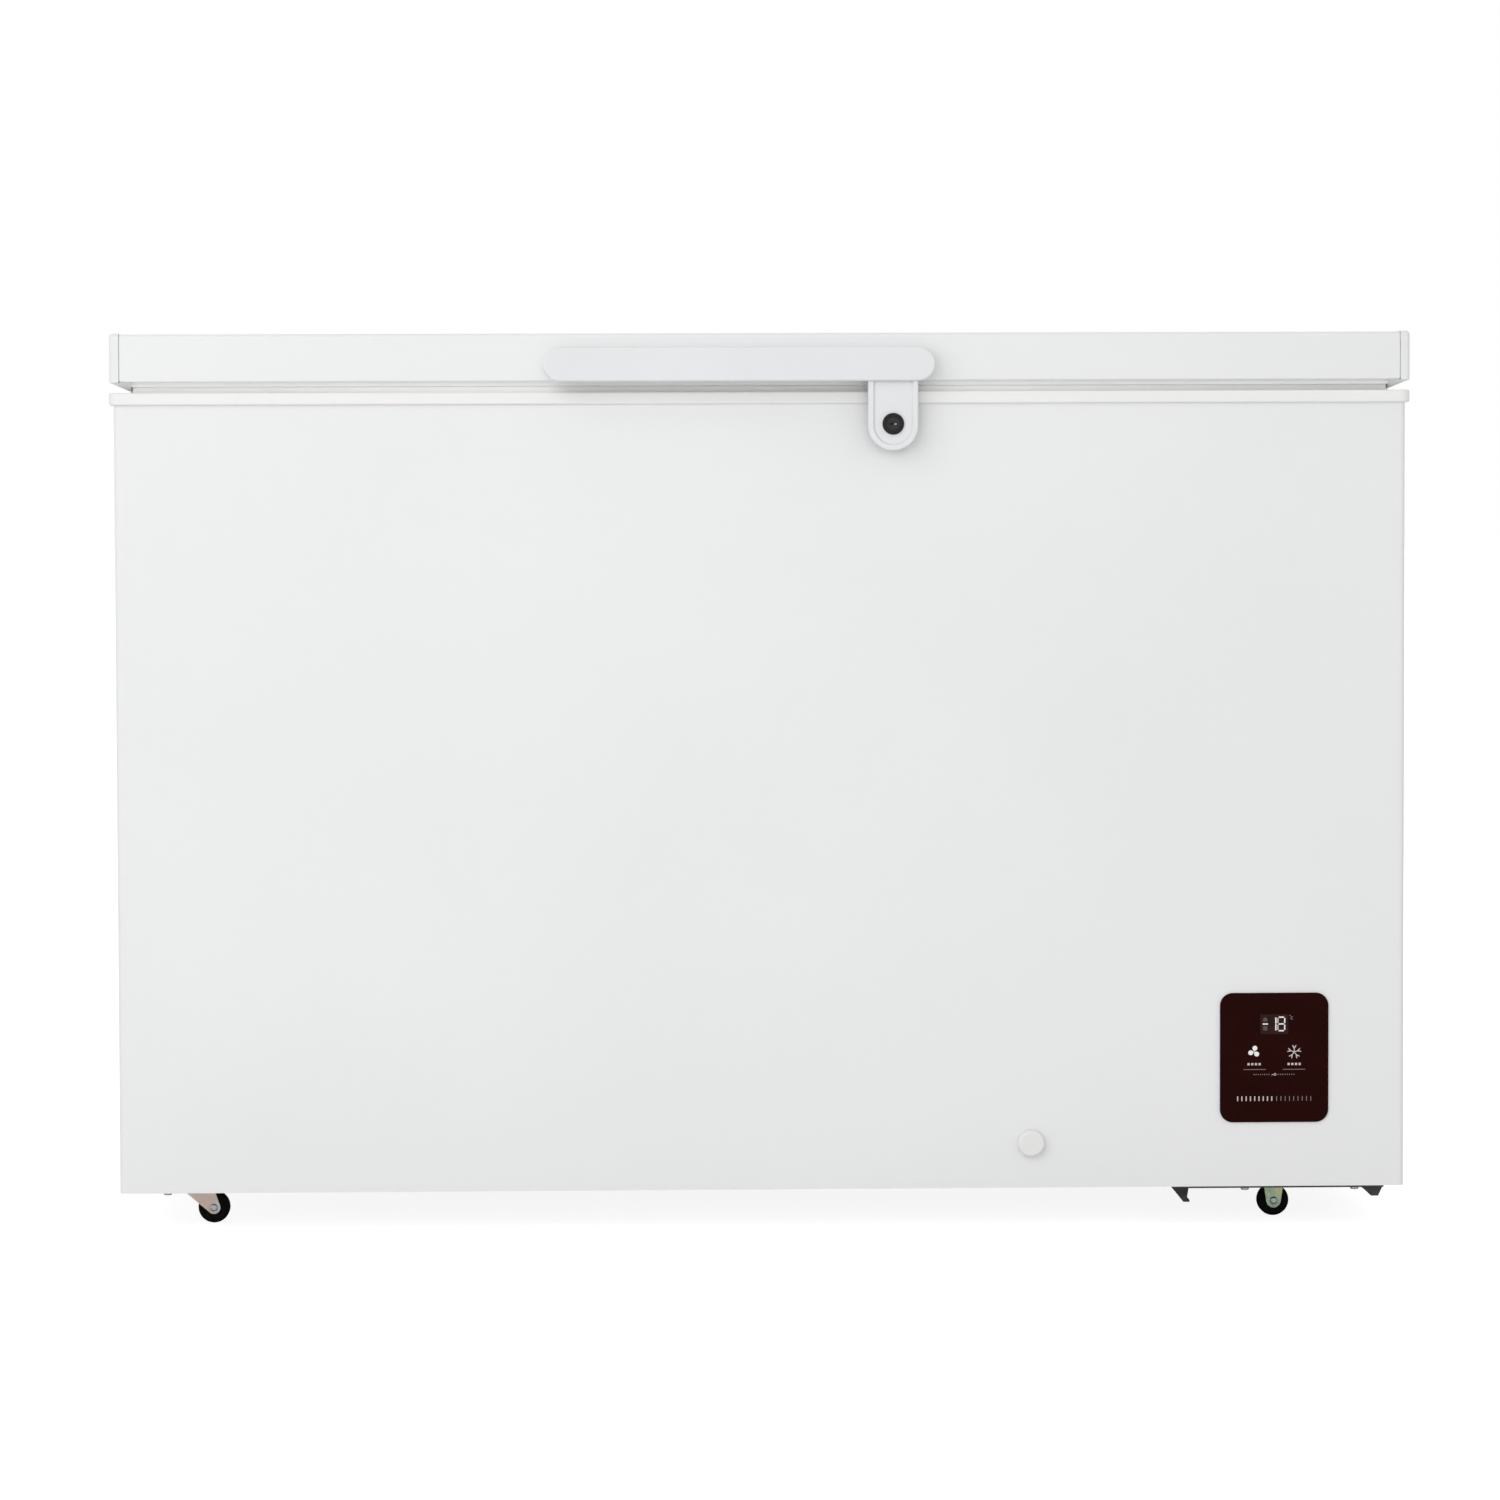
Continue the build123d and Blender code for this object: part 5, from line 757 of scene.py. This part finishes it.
def surroundings():
    """White where it is seen, and a soft light, weaker from straight above, where it lights the object."""
    world = bpy.data.worlds.new("studio")
    bpy.context.scene.world = world
    world.use_nodes = True
    tree = world.node_tree
    background = tree.nodes["Background"]
    heading = tree.nodes.new("ShaderNodeSeparateXYZ")
    tree.links.new(tree.nodes.new("ShaderNodeTexCoord").outputs["Generated"], heading.inputs["Vector"])
    ambient = tree.nodes.new("ShaderNodeMapRange")
    ambient.inputs["To Min"].default_value = AMBIENT
    ambient.inputs["To Max"].default_value = ZENITH_AMBIENT
    tree.links.new(heading.outputs["Z"], ambient.inputs["Value"])
    level = tree.nodes.new("ShaderNodeMapRange")
    level.inputs["To Max"].default_value = 1.0
    tree.links.new(ambient.outputs["Result"], level.inputs["To Min"])
    tree.links.new(seen_directly(tree), level.inputs["Value"])
    tree.links.new(level.outputs["Result"], background.inputs["Strength"])
    background.inputs["Color"].default_value = (1.0, 1.0, 1.0, 1.0)


def softbox(name, place, target, size, power):
    """A square lamp that faces the target and shows in no mirror-like surface."""
    data = bpy.data.lights.new(name, "AREA")
    data.size = size
    data.energy = power
    lamp = bpy.data.objects.new(name, data)
    lamp.visible_glossy = False
    lamp.location = place
    lamp.rotation_euler = (Vector(target) - Vector(place)).to_track_quat("-Z", "Y").to_euler()
    bpy.context.scene.collection.objects.link(lamp)


def camera():
    """The camera at its fitted place, turned by yaw, pitch and roll."""
    yaw, pitch, roll = (math.radians(turn) for turn in (CAMERA_YAW, CAMERA_PITCH, CAMERA_ROLL))
    forward = Vector((math.sin(yaw) * math.cos(pitch), math.cos(yaw) * math.cos(pitch), -math.sin(pitch)))
    level_right = Vector((math.cos(yaw), -math.sin(yaw), 0))
    level_up = level_right.cross(forward)
    right = math.cos(roll) * level_right + math.sin(roll) * level_up
    up = right.cross(forward)
    data = bpy.data.cameras.new("camera")
    data.sensor_width = SENSOR_WIDTH
    data.lens = FOCAL_PIXELS / IMAGE_SIDE * SENSOR_WIDTH
    eye = bpy.data.objects.new("camera", data)
    facing = Matrix((right, up, -forward)).transposed().to_4x4()
    eye.matrix_world = Matrix.Translation(CAMERA_PLACE) @ facing
    bpy.context.scene.collection.objects.link(eye)
    bpy.context.scene.camera = eye


floor()
surroundings()
for lamp in SOFTBOXES:
    softbox(*lamp)
camera()
bpy.context.scene.view_settings.view_transform = "Standard"
